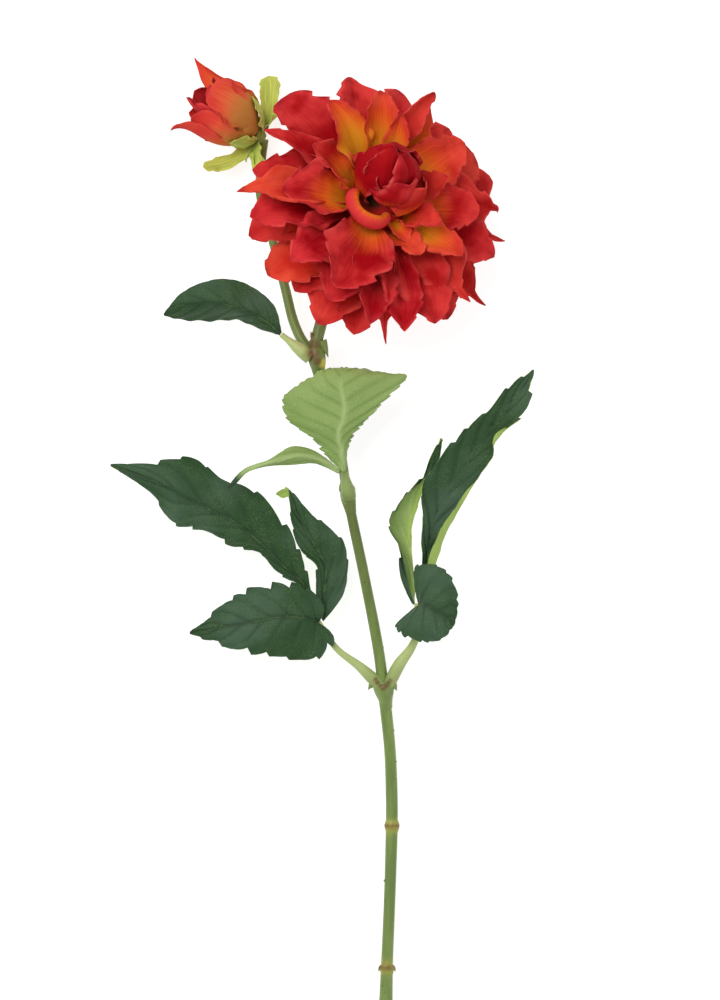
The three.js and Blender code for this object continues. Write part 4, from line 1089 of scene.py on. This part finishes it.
class Shader:
    """A material with one Principled shader, and short calls for the nodes that colour it."""

    def __init__(self, name: str, finish: Finish) -> None:
        """Makes the material and sets the constants of its finish.

        Args:
            name: the material's name.
            finish: its finish.
        """
        self.material = bpy.data.materials.new(name)
        self.material.use_nodes = True
        self.tree = self.material.node_tree
        self.surface = self.tree.nodes["Principled BSDF"]
        self.finish = finish
        self.colour: Value = (0.0, 0.0, 0.0)
        constants = {
            "Roughness": finish.roughness,
            "Specular IOR Level": finish.specular,
            "Subsurface Weight": finish.subsurface,
            "Subsurface Scale": 0.002,
        }
        feed(self.surface, constants)

    def node(self, kind: str, inputs: dict, **settings: object) -> bpy.types.Node:
        """Adds a shader node to the material."""
        return add_node(self.tree, "ShaderNode" + kind, inputs, **settings)

    def step(self, value: Number, low: float, high: float, start: float = 0.0, end: float = 1.0) -> Number:
        """A smooth step from start to end as the value goes from low to high."""
        inputs = dict(enumerate((value, low, high, start, end)))
        return Number(self.node("MapRange", inputs, interpolation_type="SMOOTHSTEP").outputs[0])

    def mix(self, share: Value, first: Value, second: Value, blend: str = "MIX") -> Socket:
        """Two colours mixed by a share."""
        inputs = {0: share, 6: first, 7: second}
        return self.node("Mix", inputs, data_type="RGBA", blend_type=blend).outputs[2]

    def dye(self, share: Value, colour: Value, blend: str = "MIX") -> None:
        """Mixes a further colour into the surface's own."""
        self.colour = self.mix(share, self.colour, colour, blend)

    def value(self, name: str) -> Number:
        """A surface value stored on the mesh."""
        return Number(self.node("Attribute", {}, attribute_name=name).outputs["Fac"])

    def across_and_along(self) -> tuple[Number, Number, Socket]:
        """Where a place is on a petal or a leaf.

        Returns:
            How far across and how far along it is, from 0 to 1, and both as one coordinate.
        """
        both = self.node("UVMap", {}, uv_map="surface").outputs[0]
        parts = self.node("SeparateXYZ", {0: both}).outputs
        return Number(parts[0]), Number(parts[1]), both

    def place(self) -> Socket:
        """The place on the object, in metres."""
        return self.node("TexCoord", {}).outputs["Object"]

    def stretched(self, vector: Socket, scale: Point) -> Socket:
        """A coordinate scaled along its axes."""
        return self.node("Mapping", {0: vector, "Scale": scale}).outputs[0]

    def near(self, point: Point, radius: float) -> Number:
        """A soft spot round a point: 1 in its middle and 0 at its rim.

        Args:
            point: its middle, in millimetres.
            radius: its radius, in millimetres.

        Returns:
            The spot's strength.
        """
        inputs = {0: self.place(), 1: tuple(value * MM for value in point)}
        distance = Number(self.node("VectorMath", inputs, operation="DISTANCE").outputs["Value"])
        return self.step(distance, 0.35 * radius * MM, radius * MM, 1.0, 0.0)

    def noise(self, vector: Socket, scale: float, detail: float = 2.0) -> Number:
        """Smooth noise from 0 to 1."""
        inputs = {"Vector": vector, "Scale": scale, "Detail": detail}
        return Number(self.node("TexNoise", inputs).outputs["Fac"])

    def grain(self, share: Number, spread: float) -> None:
        """Makes the surface's colour darker or lighter.

        Args:
            share: a number that makes it darkest at 0.3 and lightest at 0.7.
            spread: how far the colour goes both ways, as a share of itself.
        """
        inputs = dict(enumerate((share, 0.3, 0.7, 1 - spread, 1 + spread)))
        tone = self.node("MapRange", inputs).outputs[0]
        self.dye(1.0, self.node("CombineColor", {0: tone, 1: tone, 2: tone}).outputs[0], "MULTIPLY")

    def weave(self) -> Number:
        """The grain of a plain weave.

        Returns:
            Its height, from 0 to 1.
        """
        inputs = {"Vector": self.place(), "Scale": THREADS_A_METRE * WAVES_TO_SCALE, "Distortion": 1.5}
        warp, weft = (self.node("TexWave", inputs, bands_direction=axis).outputs["Fac"] for axis in "XY")
        return Number(warp) * Number(weft)

    def finished(self, height: Number) -> Material:
        """Links the colour and the bump.

        Args:
            height: the height of the surface's grain.

        Returns:
            The material.
        """
        bump = self.node("Bump", {"Strength": self.finish.bump, "Distance": BUMP_DEPTH, "Height": height})
        feed(self.surface, {"Base Color": self.colour, "Normal": bump.outputs[0]})
        return self.material


class Palette:
    """The materials of the flower."""

    def __init__(self) -> None:
        """Makes every material once."""
        self.bloom = self.petal("bloom_petal_cloth", srgb(228, 92, 34), srgb(222, 146, 32))
        self.bud = self.petal("bud_petal_cloth", srgb(230, 112, 58), srgb(180, 154, 60))
        self.leaf = [self.leaf_side("leaf_top", LEAF_TOP), self.leaf_side("leaf_underside", LEAF_UNDERSIDE)]
        self.sepal = self.green()
        self.stem = self.stalk()
        self.floor = self.table()

    def petal(self, name: str, middle: Colour, root: Colour) -> Material:
        """Petal cloth: dyed from a yellow root through red to a coral rim, with soft lengthwise streaks and
        painted shade in the heart's hollow.

        Args:
            name: the material's name.
            middle: the colour between the root's and the red.
            root: the colour at the root.

        Returns:
            The material.
        """
        shader = Shader(name, PETAL_FINISH)
        across, along, surface = shader.across_and_along()
        place = shader.place()
        mottle_and_leaf_sheen = shader.noise(place, 70.0) - 0.5
        streak = shader.noise(shader.stretched(surface, (26.0, 1.6, 1.0)), 1.0, 3.0)
        edge = abs(across * 2.0 - 1.0)
        warmth = shader.step(shader.value("warmth") + mottle_and_leaf_sheen * 0.4, 0.0, 1.0)
        deep = shader.mix(warmth, srgb(156, 0, 14), srgb(204, 44, 30))
        light = shader.mix(warmth, srgb(212, 50, 55), srgb(224, 78, 54))
        lit = along * 0.55 + edge * 0.3 + mottle_and_leaf_sheen * 1.6 + (streak - 0.5) * 0.28 - shader.value("depth")
        shader.colour = shader.mix(shader.step(lit, 0.15, 0.95), deep, light)
        reach = shader.value("glow") - (along - (streak - 0.5) * 0.25 + edge**2.0 * 0.22)
        shader.dye(shader.step(reach, -0.22, 0.12), middle)
        shader.dye(shader.step(reach, -0.02, 0.34), root)
        patchy = shader.step(shader.noise(place, 170.0), 0.4, 0.62)
        shader.dye(shader.value("rim") * shader.step(edge, 0.72, 1.0) * patchy * 0.5, srgb(226, 92, 86))
        brink = shader.step(edge, 0.9, 1.0).most(shader.step(along, 0.9, 1.0))
        shader.dye(brink * (1.0 - patchy) * 0.5, srgb(122, 6, 34))
        shader.dye(shader.value("blush") * shader.step(along, 0.5, 0.72), srgb(220, 58, 62))
        shader.dye((1.0 - shader.value("inner")) * shader.value("fade"), srgb(214, 66, 66))
        shader.grain(streak, 0.03)
        # painted shade: dark brown in the hollow between the heart's petals
        shader.dye(shader.near(*HEART_HOLLOW_PAINTED_SHADE), srgb(64, 28, 12))
        weave = shader.weave()
        shader.grain(weave, 0.03)
        return shader.finished(streak * 0.6 + weave * 0.15)

    def leaf_side(self, name: str, dyes: LeafDyes) -> Material:
        """Leaf cloth: a woven sheet with printed and pressed veins, patches of painted sheen on the top,
        painted shade in the underside's vein grooves and painted highlight and shade across some undersides.

        Args:
            name: the material's name.
            dyes: the colours of this side.

        Returns:
            The material.
        """
        shader = Shader(name, LEAF_FINISH)
        place = shader.place()
        # Patches of painted grey-blue sheen on the top and of darker green on the underside; the same noise
        # feeds the bump.
        mottle_and_sheen_noise = shader.noise(place, 32.0)
        shader.colour = shader.mix(shader.step(mottle_and_sheen_noise, 0.35, 0.75), dyes.plain, dyes.mottle_and_leaf_sheen)
        # Veins: a darker printed colour on the top, painted groove shade on the underside.
        shader.dye(shader.value("vein_and_groove_shade") * 0.6, dyes.vein_and_groove_shade)
        midrib = shader.value("midrib")
        shader.dye(midrib * 0.8, dyes.midrib)
        patchy = shader.step(shader.noise(place, 120.0), 0.4, 0.6, 0.25, 0.8)
        shader.dye(shader.step(midrib, 0.8, 1.0, 0.0, 0.6) * patchy, dyes.thread)
        flecks = shader.noise(shader.stretched(place, (1500.0, 2600.0, 1500.0)), 1.0)
        shader.dye(shader.step(flecks, 0.5, 0.72, 0.0, 0.9) * patchy, dyes.thread)
        shader.dye(shader.value("dusk"), srgb(58, 84, 62))
        # The turned-over tip in pale green on the top, and painted highlight across the underside.
        shader.dye(shader.value("turned_tip_and_highlight") * 0.85, srgb(176, 202, 98))
        # Painted shade across the underside.
        shader.dye(shader.value("underside_painted_shade"), srgb(92, 118, 54))
        weave = shader.weave()
        shader.grain(weave, 0.1)
        return shader.finished(weave + mottle_and_sheen_noise * 2.0)

    def green(self) -> Material:
        """Sepal cloth: yellow-green, duller towards the root.

        Returns:
            The material.
        """
        shader = Shader("sepal_cloth", SEPAL_FINISH)
        _, along, surface = shader.across_and_along()
        streak = shader.noise(shader.stretched(surface, (16.0, 2.0, 1.0)), 1.0, 3.0)
        shader.colour = shader.mix(shader.step(streak, 0.35, 0.65), srgb(196, 208, 94), srgb(162, 182, 74))
        shader.dye(shader.step(along, 0.35, 0.0), srgb(128, 142, 60))
        return shader.finished(shader.weave())

    def stalk(self) -> Material:
        """Moulded stem plastic: green with faint flow marks, brown at the joints, paler on the leaf stalks.

        Returns:
            The material.
        """
        shader = Shader("stem_plastic", STEM_FINISH)
        place = shader.place()
        flow = shader.noise(shader.stretched(place, (260.0, 36.0, 260.0)), 1.0, 3.0)
        patch = shader.noise(place, 260.0, 1.0)
        shader.colour = shader.mix(shader.step(flow, 0.3, 0.7), srgb(104, 126, 62), srgb(124, 146, 74))
        shader.dye(shader.value("pale"), srgb(182, 196, 128))
        shader.dye(shader.value("olive"), srgb(88, 100, 46))
        shader.dye(shader.value("glow") * 0.75, srgb(186, 178, 66))
        shader.dye(shader.near(*YELLOW_SPOT), srgb(196, 196, 76))
        stain = shader.value("brown")
        for spot in BROWN_SPOTS:
            stain = stain.most(shader.near(*spot))
        shader.dye(stain * shader.step(patch, 0.25, 0.5, 0.6, 1.0) * 0.85, srgb(104, 72, 42))
        return shader.finished(flow)

    def table(self) -> Material:
        """The plain floor, which glows so that it stays near white.

        Returns:
            The material.
        """
        shader = Shader("floor_paper", FLOOR_FINISH)
        inputs = {"Base Color": FLOOR_GREY, "Emission Color": WHITE, "Emission Strength": FLOOR_GLOW}
        feed(shader.surface, inputs)
        return shader.material


def settle(piece: bpy.types.Object, node: str) -> None:
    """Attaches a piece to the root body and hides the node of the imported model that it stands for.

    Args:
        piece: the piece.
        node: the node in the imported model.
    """
    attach(piece, "root")
    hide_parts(node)


@dataclass
class Head:
    """A bloom or a bud: where it sits, and the frame that its petals grow in."""

    centre: Point
    tilt: float
    heading: float
    sides: int
    draws: Draws
    axes: np.ndarray = field(init=False)

    def __post_init__(self) -> None:
        """Works out the head's axes."""
        self.axes = head_axes(self.tilt, self.heading)

    def placed(self, grid: np.ndarray) -> np.ndarray:
        """A grid in the head's frame, carried to where the head sits."""
        return grid @ self.axes.T + np.array(self.centre)

    def add_collar(self, weave: Weave) -> None:
        """Adds the petal that wraps round the foot of the heart to a piece.

        Args:
            weave: the piece.
        """
        s, u = (np.linspace(start, 1, count + 1) for start, count in zip((0, -1), COLLAR_STRIPS))
        outline = smooth_curve(COLLAR_OUTLINE, s)
        angle = np.radians(COLLAR_FACING + COLLAR_WRAP * u)
        taper = np.sqrt(np.maximum(1 - np.abs(u) ** 3, 0)) * (1 + 0.06 * np.sin(7 * u))
        radius = outline[0, 0] + (outline[:, :1] - outline[0, 0]) * taper
        height = outline[0, 1] + (outline[:, 1:] - outline[0, 1]) * (0.35 + 0.65 * taper)
        grid = np.stack([radius * np.cos(angle), radius * np.sin(angle), height], axis=2)
        weave.add_blade(self.placed(grid + np.array(COLLAR_CENTRE)), PETAL_THICKNESS, asdict(COLLAR_LOOK))

    def add_body(self, weave: Weave, outline: tuple, look: Look) -> None:
        """Adds a round body on the head's axis to a piece."""
        weave.add_turned(outline, self.sides, self.axes, self.centre, asdict(look))

    def grow(self, ring: Ring, weave: Weave) -> None:
        """Adds every petal of a ring to a piece.

        Args:
            ring: the ring.
            weave: the piece.
        """
        for own in ring.petals:
            petal = replace(ring.form, **own).grown(self.draws).aimed(self.axes)
            weave.add_blade(self.placed(petal.grid(ring.strips)), PETAL_THICKNESS, asdict(petal.look))


class Flower:
    """Builds every piece of the flower."""

    STEM_STEPS = 400
    STALK_STEPS = 90
    JOINT_STEPS = 30
    SPUR_STEPS = 12
    PETIOLE_STEPS = 60

    def __init__(self, palette: Palette) -> None:
        """Sets out the heads, which share one row of draws.

        Args:
            palette: the flower's materials.
        """
        draws = Draws(SEED)
        self.palette = palette
        self.bloom, self.heart, self.bud = (Head(*seat, draws) for seat in (BLOOM_SEAT, HEART_SEAT, BUD_SEAT))

    def build(self) -> None:
        """Builds the heads, the stems and the leaves."""
        self.build_bloom()
        self.build_bud()
        self.build_stem()
        for name, rod in PETIOLES.items():
            self.build_petiole(name, rod)
        for name, leaf in LEAVES.items():
            self.build_leaf(name, leaf)

    def build_bloom(self) -> None:
        """The bloom's rings, from its heart outwards, and the green cup behind it."""
        for ring in (HEART_RING, UPRIGHT_RING, MIDDLE_RING, WIDE_RING, OUTER_RING):
            weave = Weave()
            (self.heart if ring is HEART_RING else self.bloom).grow(ring, weave)
            if ring is UPRIGHT_RING:
                self.bloom.add_body(weave, BLOOM_CORE, BLOOM_CORE_LOOK)
                self.bloom.add_collar(weave)
            settle(weave.build(ring.name, [self.palette.bloom]), "bloom_petals")
        self.build_cup(self.bloom, BRACT_RING, BLOOM_CUP, "bloom_calyx")

    def build_bud(self) -> None:
        """The bud's petals and its sepals."""
        weave = Weave()
        self.bud.grow(BUD_RING, weave)
        self.bud.add_body(weave, BUD_CORE, BUD_CORE_LOOK)
        settle(weave.build(BUD_RING.name, [self.palette.bud]), "bud_petals")
        self.build_cup(self.bud, SEPAL_RING, BUD_CUP, "bud_calyx")

    def build_cup(self, head: Head, ring: Ring, cup: tuple, node: str) -> None:
        """The green cup behind a head, with its bracts or sepals.

        Args:
            head: the head.
            ring: the bracts or sepals.
            cup: the cup's pairs of radius and height.
            node: the node that the piece stands for.
        """
        weave = Weave()
        head.grow(ring, weave)
        head.add_body(weave, cup, Look())
        settle(weave.build(ring.name, [self.palette.sepal]), node)

    @staticmethod
    def add_rod(weave: Weave, rod: Rod, steps: int, pale: float = 0.0, olive: float = 0.0) -> None:
        """Adds a rod with a round section to a piece.

        Args:
            weave: the piece.
            rod: the rod.
            steps: the number of points along it.
            pale: how pale it is, up to 1.
            olive: how olive it is above the lower leaves, up to 1.
        """
        share = np.linspace(0, 1, steps)
        line = spline_through(rod.points, steps)
        off = np.min(np.abs(line[:, 1:2] - np.array(RING_PLACES)), axis=1)
        values = {
            "pale": pale * np.clip(0.35 + 2 * share, 0, 1),
            "olive": olive * np.interp(line[:, 1], *OLIVE_STRETCH),
            "brown": np.exp(-((off / 1.5) ** 2)),
            "glow": np.exp(-((off / 3.2) ** 2)),
        }
        weave.add_tube(line, smooth_curve(rod.radii, share), values)

    def build_stem(self) -> None:
        """The stem, the bud's stalk, the joints and their spurs, with small nubs scattered over them."""
        weave = Weave()
        self.add_rod(weave, MAIN_STEM, self.STEM_STEPS, olive=0.85)
        self.add_rod(weave, BUD_STALK, self.STALK_STEPS, olive=0.7)
        for joint in JOINTS:
            self.add_rod(weave, joint, self.JOINT_STEPS, pale=0.1, olive=0.8)
        for spur in SPURS:
            self.add_rod(weave, spur, self.SPUR_STEPS, pale=0.15, olive=0.4)
        stem = weave.build("stem_skin", [self.palette.stem])
        settle(stem, "stem")
        settle(scattered_nubs(stem, self.palette.stem), "stem")

    def build_petiole(self, name: str, rod: Rod) -> None:
        """One leaf stalk, swollen at its root.

        Args:
            name: the node that it stands for.
            rod: its form.
        """
        weave = Weave()
        self.add_rod(weave, rod, self.PETIOLE_STEPS, pale=0.3 if name == "front_petiole" else 0.85)
        settle(weave.build(name + "_skin", [self.palette.stem]), name)

    def build_leaf(self, name: str, leaf: Leaf) -> None:
        """One leaf or leaflet, with its teeth and veins.

        Args:
            name: the node that it stands for.
            leaf: its form.
        """
        rows, columns = LEAF_STRIPS
        s = np.linspace(0, 1, rows + 1)
        left = round(columns * leaf.midrib)
        u = np.r_[np.linspace(0, leaf.midrib, left + 1), np.linspace(leaf.midrib, 1, columns - left + 1)[1:]]
        lines = np.stack([smooth_curve(curve, s) for curve in leaf.curves])
        side = np.sign(u - leaf.midrib)[None, :]
        span = np.where(u < leaf.midrib, leaf.midrib, 1 - leaf.midrib)[None, :]
        edge = np.abs(u[None, :] - leaf.midrib) / span
        sheet = np.stack([smooth_curve(lines[:, i, :], u) for i in range(rows + 1)])
        half = np.linalg.norm(sheet[:, [0, -1]] - sheet[:, [left]], axis=2)
        width = np.where(side < 0, half[:, :1], half[:, 1:])
        notches = (self.notches(leaf, s, half[:, k], k)[:, None] for k in (0, 1))
        shift = u[None, :] - side * span * np.where(side < 0, *notches) * edge**3
        grid = np.stack([smooth_curve(lines[:, i, :], shift[i]) for i in range(rows + 1)])
        grid[-1] = grid[-1].mean(axis=0) + (grid[-2] - grid[-2].mean(axis=0)) * 0.2
        midrib, veins = self.ribs(leaf, s[:, None], edge, edge * width, side)
        ripple = np.sin(2 * np.pi * (s[:, None] * leaf.veins - 2 * edge) + 2.5 * side) * edge**2
        press = 0.6 * midrib + 0.6 * veins + 0.5 * ripple * np.minimum(width / 12, 1)
        grid = grid - grid_normals(grid) * press[..., None]
        dusk, turned_over = (
            np.repeat(np.clip((s - start) / run, 0, 1), columns + 1)
            for start, run in ((leaf.dark_tip, 0.12), (leaf.pale_tip, 0.02))
        )
        # Painted highlight where above 0 and painted shade where below 0, across the underside.
        painted_light_across = np.tile(np.interp(u, np.linspace(0, 1, len(leaf.painted_light_across)), leaf.painted_light_across), rows + 1)
        values = {
            "midrib": np.tile(midrib.ravel(), 2),
            "vein_and_groove_shade": np.tile(veins.ravel(), 2),
            "dusk": np.tile(dusk, 2),
            "turned_tip_and_highlight": np.concatenate([turned_over, np.maximum(painted_light_across, 0)]),
            "underside_painted_shade": np.concatenate([0 * painted_light_across, np.maximum(-painted_light_across, 0)]),
        }
        weave = Weave()
        weave.add_blade(grid, LEAF_THICKNESS, values, backs=1)
        settle(weave.build(name + "_cloth", self.palette.leaf), name)

    @staticmethod
    def notches(leaf: Leaf, s: np.ndarray, half: np.ndarray, side: int) -> np.ndarray:
        """How far one edge is drawn in at each share of the length, as a share of its half width.

        Args:
            leaf: the leaf.
            s: the shares of the length.
            half: the width from the midrib to this edge, in millimetres, at each of them.
            side: 0 or 1, so that the two edges differ.

        Returns:
            The shares of the half width.
        """
        run = s * leaf.teeth + 0.15 + 0.37 * side + 0.2 * np.sin(2.3 * s * leaf.teeth + 2 * side)
        size = 0.75 + 0.25 * np.sin(5.1 * np.floor(run) + 3 * side)
        fade = np.clip(s / leaf.smooth, 0, 1) ** 2 * np.clip((1 - s) / 0.05, 0, 1)
        return np.minimum(leaf.bite * size * (1 - run % 1) ** 1.3 * fade / np.maximum(half, 0.5), 0.4)

    @staticmethod
    def ribs(leaf: Leaf, s: np.ndarray, edge: np.ndarray, off: np.ndarray, side: np.ndarray) -> tuple:
        """The heights of the midrib and of the side veins, from 0 to 1.

        Args:
            leaf: the leaf.
            s: the shares of the length.
            edge: the shares of the way from the midrib to the edge.
            off: the distances from the midrib in millimetres.
            side: -1 or 1 for the two sides of the midrib.

        Returns:
            The midrib's heights and the side veins' heights.
        """
        fade = np.clip((leaf.ends - s) / 0.15, 0, 1)
        midrib = np.exp(-((off / (0.7 + 0.8 * (1 - s))) ** 2)) * fade
        branch = (s * leaf.veins - 2.0 * edge**0.8 + np.where(side < 0, 0.35, 0)) % 1 - 0.5
        veins = np.exp(-((branch / 0.11) ** 2)) * np.clip(1.05 - edge, 0, 1) * np.clip(edge / 0.08, 0, 1)
        return midrib, veins


def scattered_nubs(stem: bpy.types.Object, material: Material) -> bpy.types.Object:
    """Small nubs scattered over the stem's surface by a node tree, as on a moulded stem.

    Args:
        stem: the stem's piece.
        material: the nubs' material.

    Returns:
        The nubs as a mesh object of their own.
    """
    tree = bpy.data.node_groups.new("scatter_nubs", "GeometryNodeTree")
    given = {
        "Per Square Metre": ("Float", NUBS_A_SQUARE_METRE),
        "Size": ("Float", NUB_RADIUS * MM),
        "Seed": ("Int", SEED),
        "Material": ("Material", material),
    }
    tree.interface.new_socket("Surface", in_out="INPUT", socket_type="NodeSocketGeometry")
    sockets = {
        name: tree.interface.new_socket(name, in_out="INPUT", socket_type="NodeSocket" + kind).identifier
        for name, (kind, _) in given.items()
    }
    tree.interface.new_socket("Nubs", in_out="OUTPUT", socket_type="NodeSocketGeometry")
    start = add_node(tree, "NodeGroupInput", {}).outputs
    spread = {"Mesh": start["Surface"], "Density": start["Per Square Metre"], "Seed": start["Seed"]}
    points = add_node(tree, "GeometryNodeDistributePointsOnFaces", spread).outputs["Points"]
    ball = add_node(tree, "GeometryNodeMeshIcoSphere", {"Radius": start["Size"], "Subdivisions": 2})
    scale = add_node(tree, "FunctionNodeRandomValue", {2: 0.5, 3: 1.2, "Seed": start["Seed"]})
    balls = {"Points": points, "Instance": ball.outputs["Mesh"], "Scale": scale.outputs[1]}
    placed = add_node(tree, "GeometryNodeInstanceOnPoints", balls).outputs[0]
    real = add_node(tree, "GeometryNodeRealizeInstances", {0: placed}).outputs[0]
    dressed = add_node(tree, "GeometryNodeSetMaterial", {"Geometry": real, "Material": start["Material"]})
    add_node(tree, "NodeGroupOutput", {0: dressed.outputs[0]})
    carrier = linked("stem_nubs", stem.data.copy())
    modifier = carrier.modifiers.new("nubs", "NODES")
    modifier.node_group = tree
    for name, (_, value) in given.items():
        modifier[sockets[name]] = value
    mesh = bpy.data.meshes.new_from_object(carrier.evaluated_get(bpy.context.evaluated_depsgraph_get()))
    carrier.modifiers.clear()
    carrier.data = mesh
    places = np.empty(3 * len(mesh.vertices), dtype=np.float32)
    mesh.vertices.foreach_get("co", places)
    places[2::3] = np.maximum(places[2::3], TABLE_GAP * MM)
    mesh.vertices.foreach_set("co", places)
    mesh.polygons.foreach_set("use_smooth", [True] * len(mesh.polygons))
    LOG.info("stem_nubs: %d faces", len(mesh.polygons))
    return carrier


class Studio:
    """The floor, the lights and the camera. Its lengths are metres."""

    CAMERA_HEIGHT = 4.0
    CENTRE = (0.0195, 0.017)
    CLIP_END = 50.0
    FLOOR_REACH = 6.0
    PLANE = 0.04
    SENSOR = 36.0
    SUBJECT = (0.02, 0.05, 0.03)
    VIEW_LENGTH = 0.5
    WORLD_STRENGTH = 0.48
    # Each soft panel's place, size and power.
    PANELS = {"sky_panel": ((-0.6, 0.7, 1.5), 1.1, 20.0), "side_panel": ((1.1, -0.6, 1.1), 1.2, 4.0)}

    def __init__(self, palette: Palette) -> None:
        """Keeps the palette for the floor."""
        self.palette = palette

    def build(self) -> None:
        """Makes the floor, the lights and the camera."""
        mesh = bpy.data.meshes.new("floor")
        size = self.FLOOR_REACH
        corners = [(-size, -size, 0), (size, -size, 0), (size, size, 0), (-size, size, 0)]
        mesh.from_pydata(corners, [], [(0, 1, 2, 3)])
        mesh.materials.append(self.palette.floor)
        floor = linked("floor", mesh)
        for name, (place, size, power) in self.PANELS.items():
            self.add_light(name, place, size, power)
        world = bpy.data.worlds.new("studio")
        world.use_nodes = True
        feed(world.node_tree.nodes["Background"], {0: WHITE, 1: self.WORLD_STRENGTH})
        bpy.context.scene.world = world
        bpy.context.scene.view_settings.view_transform = "Standard"
        self.add_camera()

    def add_light(self, name: str, place: Point, size: float, power: float) -> None:
        """Adds one soft panel that faces the flower.

        Args:
            name: its name.
            place: where it hangs.
            size: its side.
            power: its power in watts.
        """
        light = bpy.data.lights.new(name, "AREA")
        light.shape = "SQUARE"
        light.size = size
        light.energy = power
        lamp = linked(name, light)
        lamp.location = place
        lamp.rotation_mode = "QUATERNION"
        lamp.rotation_quaternion = (Vector(self.SUBJECT) - Vector(place)).to_track_quat("-Z", "Y")

    def add_camera(self) -> None:
        """Adds the camera, which looks straight down from far away."""
        data = bpy.data.cameras.new("camera")
        data.sensor_width = self.SENSOR
        data.lens = self.SENSOR * (self.CAMERA_HEIGHT - self.PLANE) / self.VIEW_LENGTH
        data.clip_end = self.CLIP_END
        camera = linked("camera", data)
        camera.location = (*self.CENTRE, self.CAMERA_HEIGHT)
        bpy.context.scene.camera = camera


def main() -> None:
    """Builds the scene."""
    logging.basicConfig(level=logging.INFO, format="%(name)s: %(message)s")
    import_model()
    palette = Palette()
    Flower(palette).build()
    Studio(palette).build()


if __name__ == "__main__":
    main()
